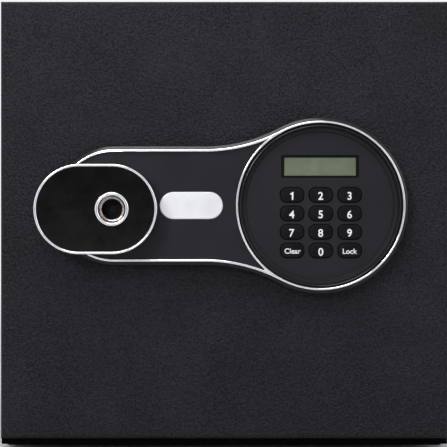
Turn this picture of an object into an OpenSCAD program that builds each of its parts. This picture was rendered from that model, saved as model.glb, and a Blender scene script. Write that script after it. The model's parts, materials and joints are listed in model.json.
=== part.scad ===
// In-room safe: a folded steel box, an overlay door on two hidden pins, an electronic keypad
// lock with a lever knob, and two round locking bolts behind a cover inside the door.
// Millimetres. +Z is up and the front faces -Y; the origin is on the floor, mid-body.

/* [Body] */
// Width of the body and of its door
body_w = 280; // [270:1:400]
// Height of the body
body_h = 281; // [270:1:360]
// Depth of the body without the door
body_d = 280; // [220:1:420]
// Thickness of the body's sheet steel
body_wall = 2.5; // [2:0.5:3.5]
// Outside radius of the body's long folded edges
body_edge_r = 3; // [3:0.5:5]
// Width of the lip around the door opening
lip_w = 22; // [21:1:24]
// Length of the fold that runs back from the opening's edge
jamb_depth = 25; // [25:1:35]
// Corner radius of the door opening
opening_r = 6; // [4:1:10]
// Thickness of the carpet mat on the floor
mat_t = 2; // [1:0.5:4]

/* [Anchor holes] */
// Diameter of the holes for fixing bolts, in the floor and the back
anchor_d = 10; // [8:1:14]
// Distance between the two holes of a pair
anchor_pitch = 150; // [100:5:180]
// Distance of the floor holes behind the body's middle
anchor_floor_y = 30; // [0:5:60]
// Height of the back holes above the floor
anchor_back_z = 140; // [100:1:180]
// Diameter of the openings in the mat over the floor holes
mat_hole_d = 24; // [20:1:30]

/* [Door] */
// Depth of the door pan, front face to back edge
door_t = 20; // [20:1:24]
// Gap between the door's back edge and the body
door_gap = 1.5; // [1:0.1:2.5]
// Height of the door's lower edge above the floor
door_floor_gap = 7.5; // [4:0.5:8]
// Thickness of the door pan's sheet steel
door_sheet = 2.5; // [2:0.5:3]
// Outside radius of the door's front edges
door_edge_r = 2.5; // [1:0.5:4]
// Thickness of the plate that closes the back of the pan
back_plate_t = 1.5; // [1:0.5:2]
// Gap left all round between sheets that are spot welded
weld_gap = 0.2; // [0.1:0.1:0.4]

/* [Hinge] */
// Distance of the hinge axis from the door's side and back
hinge_inset = 9; // [9:0.5:11]
// Diameter of the hinge pins
pin_d = 5; // [4:0.5:6]
// Radial clearance of pins and shafts that turn
turn_play = 0.05; // [0.02:0.01:0.1]
// Width of the hinge tongue
tongue_w = 10; // [9:1:11]
// Thickness of the hinge tongue
tongue_t = 3; // [2.5:0.5:4]
// Thickness of the nylon washer between tongue and door
washer_t = 0.8; // [0.5:0.1:1.5]
// Diameter of the nylon washer
washer_d = 9; // [8:0.5:10]
// Gap on each side of the washer
washer_gap = 0.1; // [0.05:0.05:0.2]
// Clearance around the tongue where it swings through the pan
tongue_play = 1; // [0.6:0.1:1.5]

/* [Lock housing] */
// Sideways place of the keypad's centre
keypad_x = 59.3; // [50:0.1:66]
// Height of the keypad's centre and the arm's middle line
lock_z = 153.2; // [140:0.1:165]
// Radius of the crest of the keypad's chrome ring
keypad_r = 51.6; // [50:0.1:54]
// Sideways place of the centre of the arm's round end
arm_x = -68.2; // [-76:0.1:-62]
// Half the height of the arm, at the crest of its trim
arm_half = 33.9; // [30:0.1:38]
// Radius of the hollow curves that lead from the arm into the keypad
arm_fillet_r = 100; // [80:1:130]
// Height of the trim's crest above the door
crest_h = 12; // [11:0.5:14]
// Width of the chrome trim
trim_w = 1.6; // [1.2:0.1:2.2]
// Height of the trim above the seat that it stands on
trim_h = 2.3; // [2:0.1:3]
// How far the arm's face lies below the crest
arm_face_drop = 1.7; // [1:0.1:2]
// How far the skirt spreads at the door
skirt = 2.6; // [1:0.1:4]
// Wall thickness of the moulded housing
housing_wall = 2.5; // [2:0.5:3]
// Clearance around moulded pieces that drop into a seat
seat_play = 0.1; // [0.05:0.05:0.2]
// Length of the blank plate on the arm
plate_len = 39; // [30:0.5:40]
// Height of the blank plate on the arm
plate_h = 16.9; // [12:0.1:20]
// Sideways place of the blank plate's centre
plate_x = -20.4; // [-21:0.1:-16]
// Depth of the blank plate's seat in the arm
plate_seat = 1; // [0.6:0.1:1.4]
// How far the blank plate stands out of its seat at its middle
plate_rise = 1; // [0.6:0.1:1.4]

/* [Keypad] */
// Depth of the key face below the ring's crest
face_drop = 5.5; // [5:0.5:6]
// Radius of the key face
face_r = 45.6; // [45:0.1:46]
// Thickness of the key face
face_t = 2; // [1.5:0.5:2]
// Width of a key
key_w = 15; // [12:0.1:16]
// Height of a key
key_h = 9.5; // [8:0.1:10]
// Corner radius of a key
key_r = 4.2; // [2:0.1:4.4]
// Distance between the key columns
key_pitch_x = 17.85; // [17.4:0.05:18.5]
// Distance between the key rows
key_pitch_z = 11.48; // [11.3:0.02:12]
// Sideways place of the middle key column
keys_x = 59.8; // [58:0.1:61]
// Height of the top key row
keys_top_z = 159.8; // [158:0.1:162]
// How far a key stands out of the face
key_rise = 1; // [0.9:0.1:1.5]
// Travel of a key
key_travel = 0.8; // [0.5:0.1:0.8]
// Gap all round a key in its hole
key_play = 0.2; // [0.15:0.05:0.3]
// Width of the flange that keeps a key in
key_flange = 0.6; // [0.5:0.05:0.7]
// Width of the display window
display_w = 48.3; // [40:0.1:50]
// Height of the display window
display_h = 14.2; // [10:0.1:15]
// Height of the display window's centre above the floor
display_z = 177.5; // [177:0.1:179.5]

/* [Knob] */
// Sideways place of the knob's turning axis
knob_x = -68.2; // [-72:0.1:-66]
// Height of the knob's turning axis
knob_z = 150.8; // [142:0.1:153]
// Radius of the knob's round ends
knob_r = 27.4; // [24:0.1:27.6]
// Distance between the centres of the knob's round ends
knob_reach = 20; // [14:0.5:26]
// Gap between the trim's crest and the knob
knob_gap = 0.6; // [0.4:0.1:1.5]
// Thickness of the knob, back to rim crest
knob_t = 13.4; // [13:0.1:18]
// Width of the knob's chrome rim
rim_w = 1.6; // [1.2:0.1:2.4]
// Thickness of the gloss face in the knob
insert_t = 2; // [1.5:0.5:2.5]
// Outside radius of the chrome ring of the key port
port_r = 10.4; // [9.5:0.1:11]
// Radius of the hole of the key port
port_hole_r = 5.3; // [4.5:0.1:5.8]
// Depth of the key port below the knob's rim crest
port_depth = 8.9; // [8:0.1:8.9]
// Diameter of the spindle
spindle_d = 10; // [8:0.5:11]
// Outside diameter of the bush that the spindle turns in
bush_d = 14; // [13:0.5:16]

/* [Bolt work] */
// Diameter of the locking bolts
bolt_d = 14; // [12:0.5:15]
// Distance between the two locking bolts
bolt_spread = 90; // [84:1:100]
// How far the bolts are thrown
bolt_throw = 16; // [12:0.5:16]
// How far the drawn bolts stand out of the cover
bolt_rest_out = 2; // [1:0.5:3]
// Distance of the bolts' axes behind the door's front face
bolt_depth = 34; // [33.5:0.5:35]
// Radial gap around a bolt in the body's jamb
bolt_play = 0.6; // [0.4:0.1:1.2]
// Radial gap around a bolt in its guide
guide_play = 0.1; // [0.05:0.01:0.1]
// Thickness of the carriage and cam plates
carriage_t = 3; // [2.5:0.5:3]
// Diameter of the crank pin
crank_pin_d = 5; // [4:0.5:6]
// Gap on each side of the crank pin in its slot
crank_play = 0.45; // [0.4:0.05:0.6]
// Diameter of the solenoid's plunger
plunger_d = 6; // [5:0.5:7]
// Travel of the solenoid's plunger
plunger_travel = 5.5; // [5.5:0.1:7]
// Height of the carriage tooth that the plunger blocks
tooth_h = 5; // [4:0.1:5]

/* [Inside cover] */
// Width of the cover inside the door
cover_w = 172; // [172:1:180]
// Gap between the cover and the opening's left side
cover_gap = 8; // [6:0.5:8.5]
// How far the cover reaches above the upper bolt's axis
cover_over = 30.2; // [30.2:0.1:36]
// How far the cover reaches below the lower bolt's axis
cover_under = 43.8; // [43.8:0.1:48]
// Depth of the cover
cover_d = 28; // [28:0.5:30]
// Wall thickness of the cover
cover_wall = 2; // [1.5:0.5:2]
// Corner radius of the cover
cover_r = 6; // [4:1:8]
// Diameter of the cover screws' threads
cover_screw_d = 3; // [2.5:0.5:3]

/* [Batteries] */
// Diameter of an AA cell
cell_d = 14.5; // [14:0.1:14.6]
// Length of an AA cell
cell_len = 50.5; // [50:0.1:51]
// Distance between the cells' axes
cell_pitch = 15.2; // [15:0.1:15.4]
// Thickness of the battery lid
lid_t = 1.9; // [1.5:0.1:2.5]

/* [Hidden] */
$fn = 64;
eps = 0.01;
cut = 1; // how far a cutting solid runs past what it cuts

// Places in the row frame
body_front_y = -body_d / 2;
door_front_y = body_front_y - door_gap - door_t;
door_top = body_h;
hinge_x = body_w / 2 - hinge_inset;
hinge_y = body_front_y - door_gap - hinge_inset;
tongue_drop = door_sheet + washer_t + 2 * washer_gap; // door edge to the tongue's near face
opening_w = body_w - 2 * lip_w;
opening_h = body_h - 2 * lip_w;

// Lock housing, in the door's frame: heights are above the door's front face
arm_seat_h = crest_h - trim_h;
arm_face_h = crest_h - arm_face_drop;
ring_seat_h = arm_seat_h - 0.7;
fillet_x = keypad_x - sqrt(pow(keypad_r + arm_fillet_r, 2) - pow(arm_half + arm_fillet_r, 2));
fillet_turn = atan2(keypad_x - fillet_x, arm_half + arm_fillet_r);
bezel_r = keypad_r - trim_w / 2 - seat_play;
web_len = 12.4;
web_drop = 0.2;
housing_screw_d = 4;
housing_screws_at = [
    [arm_x - 20, lock_z + 16], [arm_x - 20, lock_z - 16],
    [-5, lock_z + 21], [-5, lock_z - 21]
];
bezel_screw_d = 3;
bezel_screw_r = face_r + 2.6;
bezel_screw_angles = [90, 210, 330];
bezel_ledge = 1.2; // how far the ledge reaches in under the key face

// Keypad layers
face_h = crest_h - face_drop;
key_crown_r = 60;
face_back_h = face_h - face_t;
board_h = 0.2;
board_t = 1.6;
mat_h = board_h + board_t;
mat_sheet_t = 0.8;
dome_h = 0.3;
flange_t = 0.5;
key_back_h = face_back_h - seat_play - flange_t;
cable_x = 45;
cable_z = lock_z + 28.5;
cable_w = 12;
cable_t = 1;
connector_t = 4;

// Knob
knob_back_h = crest_h + knob_gap;
knob_crest_h = knob_back_h + knob_t;
rim_mid_h = knob_crest_h - rim_w / 2;
insert_seat_h = rim_mid_h - insert_t + 0.2;
port_floor_h = knob_crest_h - port_depth;
socket_floor_t = 1.5;
socket_back_h = port_floor_h - socket_floor_t;
socket_top_h = port_floor_h + 1.9;
hub_d = 18;
hub_gap = 0.5;

// Cover, round the bolts and beside the opening's left side
bolt_heights = [knob_z - bolt_spread / 2, knob_z + bolt_spread / 2];
cover_x = cover_gap - opening_w / 2;
cover_z = bolt_heights[0] - cover_under;
cover_h = bolt_heights[1] + cover_over - cover_z;
cover_right = cover_x + cover_w;

// Bolt work, behind the door's front face
bush_back = -(door_t + 2.5);
cam_front = bush_back - 0.5;
cam_back = cam_front - carriage_t;
carriage_front = cam_back - 1.5;
carriage_back = carriage_front - carriage_t;
carriage_mid = (carriage_front + carriage_back) / 2;
crank_r = bolt_throw / (2 * sin(45));
crank_at = [knob_x + crank_r * sin(45), knob_z + crank_r * cos(45)];
spindle_square = spindle_d * 0.7;
spindle_bore_d = 4;
clip_t = 0.8;
ear_t = 3;
ear_x = cover_x + 30; // left side of the carriage
bolt_tip_x = cover_x - bolt_rest_out;
bolt_stud_d = bolt_d / 2;
guide_len = 10.3;
guide_half = bolt_d / 2 + 4;
tab_top = knob_z + 20.9;
tab_bottom = knob_z - 27.1;
tab_right = ear_x + 58;
plunger_x = ear_x + 40;
tooth_gap = 0.7;
column_w = 25; // width of the carriage's upright plate
plunger_gap = 1; // dropped plunger's tip above the carriage tab
plunger_tip = tab_top + plunger_gap + plunger_travel; // held up by the energised coil
collar_z = plunger_tip + tooth_h + 0.5;
collar_t = 1.2;
collar_d = plunger_d + 3;
spring_room = 7.3; // length of the spring while the plunger is up
solenoid_z = collar_z + collar_t + spring_room;
solenoid_h = 26;
solenoid_w = 22;
solenoid_wall = 2;
coil_d = 13.5;
spring_wire = 0.8;
spring_turns = 6;

// What the cover carries
cover_back = -(door_t + cover_d);
cover_inner = cover_back + cover_wall;
cover_screw_in = 5.5;
cover_screws_at = [
    for (x = [cover_x + cover_screw_in, cover_x + cover_w - cover_screw_in],
         z = [cover_z + cover_screw_in, cover_z + cover_h - cover_screw_in]) [x, z]
];
tray_x = cover_right - 44;
tray_up = 43; // tray's middle above the cover's lower side
tray_z = cover_z + tray_up;
tray_wall = 1.5;
contact_room = 3;
tray_w = 3 * cell_pitch + cell_d + 1 + 2 * tray_wall;
tray_h = cell_len + 2 * contact_room + 2 * tray_wall;
tray_front = -26;
cell_mid = cover_inner + 2.5 + cell_d / 2;
window_w = tray_w - 5;
window_h = tray_h - 9;
lid_w = tray_w + 1;
lid_h = tray_h + 1;
lid_gap = 0.1;
lid_pin_d = 2;
lid_barrel_d = 4;
lid_axis_depth = cover_back - lid_barrel_d / 2 - 0.2;
lid_axis_z = tray_z - lid_h / 2 - 2;
lid_ear_w = 3;
lid_ear_gap = 0.4;
control_at = [cover_right - 37, knob_z + 40.9];
control_size = [66, 43];
control_front = -(door_t + 3);
control_t = 1.6;
cable_end_x = control_at[0] - 1;
// Parts on the board's back: middle across and up, width, height and thickness
board_parts = [
    [-14, 2, 14, 14, 2], [-14, -14, 9, 6, 1.6], [14, -8, 8, 5, 1.6], [26, 10, 5, 14, 6]
];
buzzer_at = [24, -12];
buzzer_d = 8;
buzzer_h = 7;
cell_cap_d = 5.5;
button_at = control_at + [5, 11];
button_d = 8;
button_rise = 3;
button_travel = 1.5;
switch_h = 3.5;

// ---- Shapes and frames -------------------------------------------------------------------

// Stands a flat outline (x, height) up in the X-Z plane, from y0 back to y0 + t
module upright(y0, t) translate([0, y0 + t, 0]) rotate([90, 0, 0]) linear_extrude(t) children();

// The door's own frame: x right, y up, z out of the door's front face
module on_door() translate([0, door_front_y, 0]) rotate([90, 0, 0]) children();

// A slab in the door's frame, between two heights
module layer(h0, h1) translate([0, 0, h0]) linear_extrude(h1 - h0) children();

// A disc or round bar in the door's frame
module disc(at, h0, h1, d) translate([at[0], at[1], h0]) cylinder(h = h1 - h0, d = d);

// A bar along X
module bar_x(x0, x1, y, z, d) translate([x0, y, z]) rotate([0, 90, 0]) cylinder(h = x1 - x0, d = d);

// A bar along the height, in the door's frame
module bar_up(x, y0, y1, h, d) translate([x, y0, h]) rotate([-90, 0, 0]) cylinder(h = y1 - y0, d = d);

module block(x0, x1, y0, y1, z0, z1)
    translate([x0, y0, z0]) cube([x1 - x0, y1 - y0, z1 - z0]);

module round_rect(w, h, r) {
    square([w - 2 * r, h], center = true);
    square([w, h - 2 * r], center = true);
    for (sx = [-1, 1], sy = [-1, 1]) translate([sx * (w / 2 - r), sy * (h / 2 - r)]) circle(r);
}

module stadium(length, d) {
    square([length - d, d], center = true);
    for (s = [-1, 1]) translate([s * (length - d) / 2, 0]) circle(d = d);
}

// A rectangle with its own radius at each corner: low-left, low-right, high-right, high-left
module corner_rect(x0, x1, y0, y1, radii) {
    corners = [[x0, y0], [x1, y0], [x1, y1], [x0, y1]];
    inward = [[1, 1], [-1, 1], [-1, -1], [1, -1]];
    difference() {
        translate([x0, y0]) square([x1 - x0, y1 - y0]);
        for (i = [0:3]) if (radii[i] > 0) difference() {
            translate(corners[i] + inward[i] * (radii[i] - cut) / 2)
                square(radii[i] + cut, center = true);
            translate(corners[i] + inward[i] * radii[i]) circle(radii[i]);
        }
    }
}

module ring(r_in, r_out, h0, h1) difference() {
    translate([0, 0, h0]) cylinder(h = h1 - h0, r = r_out);
    translate([0, 0, h0 - cut]) cylinder(h = h1 - h0 + 2 * cut, r = r_in);
}

// A helical spring along +Z from the origin
module helix_spring(mid_r, wire, length, turns) {
    steps = 10;
    sides = 6;
    count = turns * steps;
    points = [
        for (i = [0:count], j = [0:sides - 1])
        let (a = 360 * i / steps, b = 360 * j / sides, r = mid_r + wire / 2 * cos(b))
        [r * cos(a), r * sin(a), wire / 2 + (length - wire) * i / count + wire / 2 * sin(b)]
    ];
    tube = [
        for (i = [0:count - 1], j = [0:sides - 1])
        let (k = (j + 1) % sides)
        [i * sides + j, (i + 1) * sides + j, (i + 1) * sides + k, i * sides + k]
    ];
    start = [for (j = [0:sides - 1]) j];
    end = [for (j = [sides - 1:-1:0]) count * sides + j];
    polyhedron(points, concat([start, end], tube), convexity = 10);
}

// ---- Body --------------------------------------------------------------------------------

module body_section(inset, r) translate([0, body_h / 2])
    round_rect(body_w - 2 * inset, body_h - 2 * inset, r);

module floor_anchors(d, z0, z1) for (s = [-1, 1])
    translate([s * anchor_pitch / 2, anchor_floor_y, z0]) cylinder(h = z1 - z0, d = d);

module body_shell() color("#232226") difference() {
    upright(body_front_y, body_d) difference() {
        body_section(0, body_edge_r);
        body_section(body_wall, body_edge_r - body_wall + eps);
    }
    floor_anchors(anchor_d, -cut, body_wall + cut);
}

module back_panel() color("#232226") upright(body_d / 2 - body_wall, body_wall) difference() {
    translate([0, body_h / 2]) square([
        body_w - 2 * body_wall - 2 * weld_gap, body_h - 2 * body_wall - 2 * weld_gap
    ], center = true);
    for (s = [-1, 1]) translate([s * anchor_pitch / 2, anchor_back_z]) circle(d = anchor_d);
}

module opening_outline(grow) translate([0, body_h / 2])
    round_rect(opening_w + 2 * grow, opening_h + 2 * grow, opening_r + grow);

// The two tongue slots, top and bottom, as ranges of height
tongue_low = door_floor_gap + tongue_drop;
tongue_high = door_top - tongue_drop - tongue_t;

module front_frame() color("#232226") difference() {
    union() {
        upright(body_front_y, body_wall) difference() {
            translate([0, body_h / 2]) square([
                body_w - 2 * body_wall - 2 * weld_gap, body_h - 2 * body_wall - 2 * weld_gap
            ], center = true);
            opening_outline(0);
        }
        upright(body_front_y, jamb_depth) difference() {
            opening_outline(body_wall);
            opening_outline(0);
        }
    }
    for (z = [tongue_low, tongue_high])
        block(hinge_x - tongue_w / 2 - weld_gap, hinge_x + tongue_w / 2 + weld_gap,
              body_front_y - cut, body_front_y + body_wall + cut,
              z - weld_gap, z + tongue_t + weld_gap);
    for (z = bolt_heights)
        bar_x(-opening_w / 2 - body_wall - cut, -opening_w / 2 + cut,
              door_front_y + bolt_depth, z, bolt_d + 2 * bolt_play);
}

module floor_mat() color("#3a3a3e") difference() {
    block(-body_w / 2 + body_wall + 1, body_w / 2 - body_wall - 1,
          body_front_y + body_wall + 1, body_d / 2 - body_wall - 1, body_wall, body_wall + mat_t);
    floor_anchors(mat_hole_d, 0, body_wall + mat_t + cut);
    // the lower hinge tongue's leg stands behind the lip, on the mat's edge
    block(hinge_x - tongue_w / 2 - 1, body_w / 2, body_front_y, body_front_y + body_wall + 6,
          0, body_wall + mat_t + cut);
}

// One tongue with its leg behind the lip; leg_dir is 1 where the leg goes up
module hinge_tongue(z, leg_dir) {
    leg_y = body_front_y + body_wall;
    leg_len = lip_w - tongue_drop - tongue_t - door_floor_gap;
    difference() {
        union() {
            translate([hinge_x, hinge_y, z]) cylinder(h = tongue_t, d = tongue_w);
            block(hinge_x - tongue_w / 2, hinge_x + tongue_w / 2,
                  hinge_y, leg_y + tongue_t, z, z + tongue_t);
        }
        translate([hinge_x, hinge_y, z - cut])
            cylinder(h = tongue_t + 2 * cut, d = pin_d + 2 * turn_play);
    }
    leg_z = leg_dir > 0 ? z + tongue_t - eps : z - leg_len;
    block(hinge_x - tongue_w / 2, hinge_x + tongue_w / 2,
          leg_y, leg_y + tongue_t, leg_z, leg_z + leg_len + eps);
}

module hinge_tongues() color("#2c2b30") {
    hinge_tongue(tongue_low, 1);
    hinge_tongue(tongue_high, -1);
}

// ---- Door --------------------------------------------------------------------------------

module door_block() intersection() {
    translate([0, 0, door_floor_gap]) linear_extrude(door_top - door_floor_gap)
        corner_rect(-body_w / 2, body_w / 2, door_front_y, door_front_y + door_t,
                    [door_edge_r, door_edge_r, hinge_inset, 0]);
    translate([-body_w / 2 - cut, 0, 0]) rotate([90, 0, 90]) linear_extrude(body_w + 2 * cut)
        corner_rect(door_front_y, door_front_y + door_t + cut, door_floor_gap, door_top,
                    [door_edge_r, 0, 0, door_edge_r]);
}

module door_hollow() {
    x0 = -body_w / 2 + door_sheet;
    y0 = door_front_y + door_sheet;
    translate([0, 0, door_floor_gap + door_sheet])
    linear_extrude(door_top - door_floor_gap - 2 * door_sheet) {
        translate([x0, y0]) square([body_w - 2 * door_sheet, hinge_y - y0]);
        translate([x0, y0]) square([hinge_x - x0, door_t - door_sheet + cut]);
        translate([hinge_x, hinge_y]) circle(hinge_inset - door_sheet);
    }
}

module at_bezel_screws() for (a = bezel_screw_angles)
    translate([keypad_x + bezel_screw_r * cos(a), lock_z + bezel_screw_r * sin(a)]) children();

module door_panel() color("#2a292e") difference() {
    door_block();
    door_hollow();
    // notches that the tongues swing through
    for (z = [tongue_low - tongue_play, tongue_high])
        block(hinge_x - tongue_w / 2 - tongue_play - 1, body_w / 2 + cut,
              hinge_y - tongue_w / 2 - tongue_play - 1, body_front_y,
              z, z + tongue_t + tongue_play);
    translate([hinge_x, hinge_y, door_floor_gap - cut])
        cylinder(h = door_top - door_floor_gap + 2 * cut, d = pin_d);
    on_door() {
        disc([knob_x, knob_z], -door_sheet - cut, cut, bush_d + 2 * seat_play);
        disc([cable_x, cable_z], -door_sheet - cut, cut, cable_w + 8);
        for (p = housing_screws_at) disc(p, -door_sheet - cut, cut, housing_screw_d + 0.6);
        at_bezel_screws() disc([0, 0], -door_sheet - cut, cut, bezel_screw_d + 0.6);
    }
}

module door_back_plate() color("#2a292e") on_door() difference() {
    union() {
        layer(-door_t, -door_t + back_plate_t) difference() {
            corner_rect(-body_w / 2 + door_sheet + weld_gap, hinge_x - weld_gap,
                        door_floor_gap + door_sheet + weld_gap, door_top - door_sheet - weld_gap,
                        [0, 0, 0, 0]);
            notch_x = hinge_x - tongue_w / 2 - tongue_play;
            notch_h = tongue_drop + tongue_t + tongue_play;
            translate([notch_x, door_floor_gap]) square([tongue_w * 2, notch_h]);
            translate([notch_x, door_top - notch_h]) square([tongue_w * 2, notch_h]);
        }
        for (sx = [-1, 1], sy = [-1, 1]) // standoffs of the control board
            disc(control_at + [sx * (control_size[0] / 2 - 3.5), sy * (control_size[1] / 2 - 3.5)],
                 control_front, -door_t + eps, 5);
    }
    disc([knob_x, knob_z], -door_t - cut, -door_t + back_plate_t + cut, bush_d + 2 * seat_play);
    for (p = cover_screws_at)
        disc(p, -door_t - cut, -door_t + back_plate_t + cut, cover_screw_d);
    layer(-door_t - cut, -door_t + back_plate_t + cut) translate([cable_end_x, cable_z])
        square([cable_t + 3, cable_w + 3], center = true);
}

module hinge_pins() color("#b9bcc2") {
    pin_len = tongue_drop + tongue_t + 0.8;
    for (z = [door_floor_gap, door_top - pin_len])
        translate([hinge_x, hinge_y, z]) cylinder(h = pin_len, d = pin_d);
}

module hinge_washers() color("#e8e6df") {
    for (z = [door_floor_gap + door_sheet, door_top - tongue_drop])
        translate([hinge_x, hinge_y, z + washer_gap])
            ring(pin_d / 2 + turn_play, washer_d / 2, 0, washer_t);
}

// ---- Lock housing ------------------------------------------------------------------------

module at_keypad() translate([keypad_x, lock_z]) children();

// The arm and keypad outline; `out` moves it outwards from the trim's crest line
module lock_outline(out) translate([0, lock_z]) {
    reach = (keypad_r + out) / (keypad_r + arm_fillet_r);
    touch_x = keypad_x - (keypad_x - fillet_x) * reach;
    touch_z = (arm_half + arm_fillet_r) * reach;
    translate([keypad_x, 0]) circle(keypad_r + out);
    translate([arm_x, 0]) circle(arm_half + out);
    translate([arm_x, -arm_half - out]) square([fillet_x - arm_x, 2 * (arm_half + out)]);
    difference() {
        polygon([[fillet_x - eps, -touch_z], [touch_x, -touch_z], [keypad_x, 0],
                 [touch_x, touch_z], [fillet_x - eps, touch_z]]);
        for (s = [-1, 1]) translate([fillet_x, s * (arm_half + arm_fillet_r)])
            circle(arm_fillet_r - out);
    }
}

// Runs a profile (outwards, height) along the arm, from the keypad round the end and back
module along_arm() translate([0, lock_z, 0]) {
    for (side = [0, 1]) mirror([0, side, 0]) {
        translate([fillet_x, arm_half + arm_fillet_r, 0]) rotate(-90)
            rotate_extrude(angle = fillet_turn, $fn = 128)
                translate([arm_fillet_r, 0]) mirror([1, 0]) children();
        translate([arm_x, arm_half, 0]) rotate([90, 0, 90])
            linear_extrude(fillet_x - arm_x) children();
    }
    translate([arm_x, 0, 0]) rotate(90)
        rotate_extrude(angle = 180) translate([arm_half, 0]) children();
}

// Section of the chrome trim: upright sides under a round crest
module trim_profile(base) {
    edge = trim_w / 2;
    polygon(concat([[-edge, base], [edge, base]], [
        for (turn = [0:30:180]) [edge * cos(turn), crest_h - edge * (1 - sin(turn))]
    ]));
}

// Fills the sharp corners between the trim along the arm and the keypad's ring
module trim_webs() translate([0, lock_z]) layer(arm_face_h, crest_h - web_drop) {
    reach = keypad_r / (keypad_r + arm_fillet_r);
    for (s = [-1, 1]) difference() {
        translate([keypad_x - (keypad_x - fillet_x) * reach, s * (arm_half + arm_fillet_r) * reach])
            intersection() {
                circle(web_len);
                rotate(s * fillet_turn) translate([-web_len, -web_len]) square([web_len, 2 * web_len]);
            }
        translate([keypad_x, 0]) circle(keypad_r + trim_w / 2);
        translate([fillet_x, s * (arm_half + arm_fillet_r)]) circle(arm_fillet_r);
    }
}

module housing_hollow() difference() {
    layer(-cut, arm_face_h - housing_wall) lock_outline(-housing_wall);
    at_keypad() cylinder(h = crest_h, r = keypad_r + trim_w / 2);
    disc([knob_x, knob_z], -cut, crest_h, bush_d + 6);
    for (p = housing_screws_at) disc(p, -cut, crest_h, housing_screw_d + 5);
}

module lock_housing() color("#2c2a2f") on_door() difference() {
    union() {
        layer(0, arm_seat_h) lock_outline(trim_w / 2);
        layer(0, arm_face_h) lock_outline(-trim_w / 2 - seat_play);
        at_keypad() cylinder(h = ring_seat_h, r1 = keypad_r + trim_w / 2 + skirt,
                             r2 = keypad_r + trim_w / 2 + 0.2);
        along_arm() polygon([[-1.2, 0], [trim_w / 2 + skirt, 0],
                             [trim_w / 2 + 0.1, arm_seat_h], [-1.2, arm_seat_h]]);
    }
    housing_hollow();
    at_keypad() {
        translate([0, 0, -cut]) cylinder(h = 2 * crest_h, r = bezel_r + seat_play);
        translate([0, 0, ring_seat_h]) cylinder(h = crest_h, r = keypad_r + trim_w / 2 + seat_play);
    }
    disc([knob_x, knob_z], -cut, crest_h, bush_d + 2 * seat_play);
    for (p = housing_screws_at) disc(p, -cut, arm_face_h - 3, housing_screw_d);
    translate([plate_x, lock_z]) layer(arm_face_h - plate_seat, crest_h)
        stadium(plate_len + 2 * seat_play, plate_h + 2 * seat_play);
}

module outline_trim() color("#d9dade") on_door() difference() {
    union() {
        along_arm() trim_profile(arm_seat_h);
        trim_webs();
    }
    at_keypad() cylinder(h = 2 * crest_h, r = keypad_r + trim_w / 2 + seat_play);
}

module keypad_ring() color("#d9dade") on_door() at_keypad()
    rotate_extrude($fn = 128) translate([keypad_r, 0]) trim_profile(ring_seat_h);

module keypad_bezel() color("#26242a") on_door() difference() {
    groove = trim_w * 0.6; // width of the dark groove inside the chrome ring
    slope_top = crest_h - 2.1;
    at_keypad() rotate_extrude($fn = 128) polygon([
        [face_r - bezel_ledge, 0.1], [bezel_r, 0.1], [bezel_r, ring_seat_h - 1],
        [bezel_r - groove, ring_seat_h - 1], [bezel_r - groove, slope_top],
        [bezel_r - groove - 0.4, slope_top], [face_r + 1, face_h - 0.2],
        [face_r + 2 * seat_play, face_h - 0.2], [face_r + 2 * seat_play, face_back_h - seat_play],
        [face_r - bezel_ledge, face_back_h - seat_play]
    ]);
    at_bezel_screws() disc([0, 0], -cut, face_back_h, bezel_screw_d);
}

module key_places() for (row = [0:3], column = [0:2])
    translate([keys_x + (column - 1) * key_pitch_x, keys_top_z - row * key_pitch_z]) children();

module display_window(grow) translate([keypad_x, display_z])
    round_rect(display_w + 2 * grow, display_h + 2 * grow, 1 + grow);

module keypad_face() color("#2e2c32") on_door() layer(face_back_h, face_h) difference() {
    at_keypad() circle(face_r);
    key_places() round_rect(key_w + 2 * key_play, key_h + 2 * key_play, key_r + key_play);
    display_window(0);
}

module keypad_board() color("#1f5a3a") on_door() {
    board_r = face_r - bezel_ledge - 0.3;
    at_keypad() translate([0, 0, board_h]) cylinder(h = board_t, r = board_r);
    block(cable_x - connector_t / 2, cable_x + connector_t / 2,
          cable_z - cable_w / 2, cable_z + cable_w / 2, -connector_t, board_h + eps);
}

module keypad_mat() color("#3c3b40") on_door() {
    mat_z = keys_top_z - 1.5 * key_pitch_z;
    layer(mat_h, mat_h + mat_sheet_t) translate([keys_x, mat_z])
        round_rect(2 * key_pitch_x + key_w + 3, 3 * key_pitch_z + key_h + 2, key_r);
    key_places() disc([0, 0], mat_h + mat_sheet_t - eps, mat_h + mat_sheet_t + dome_h, key_h - 3);
}

module display_module() color("#8a8f93") on_door() layer(mat_h, face_back_h - seat_play)
    translate([keypad_x, display_z]) square([display_w + 2, display_h + 2.4], center = true);

module display_lens() color("#6c7461") on_door()
    layer(face_back_h - seat_play + 0.05, face_h - 0.5) display_window(-seat_play);

module name_plate() color("#e4e4e8") on_door() {
    seat_h = arm_face_h - plate_seat;
    crown_r = 60;
    intersection() {
        translate([plate_x, lock_z]) layer(seat_h, seat_h + plate_seat + plate_rise)
            stadium(plate_len, plate_h);
        translate([plate_x - plate_len, lock_z, arm_face_h + plate_rise - crown_r])
            rotate([0, 90, 0]) cylinder(h = 2 * plate_len, r = crown_r, $fn = 128);
    }
}

module housing_screw(d, h_top) {
    disc([0, 0], -door_sheet - d * 0.6, -door_sheet, d * 2);
    disc([0, 0], -door_sheet - eps, h_top, d);
}

module housing_screws() color("#8e9095") on_door() {
    for (p = housing_screws_at) translate(p) housing_screw(housing_screw_d, arm_face_h - 4);
    at_bezel_screws() housing_screw(bezel_screw_d, face_back_h - 0.6);
}

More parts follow.
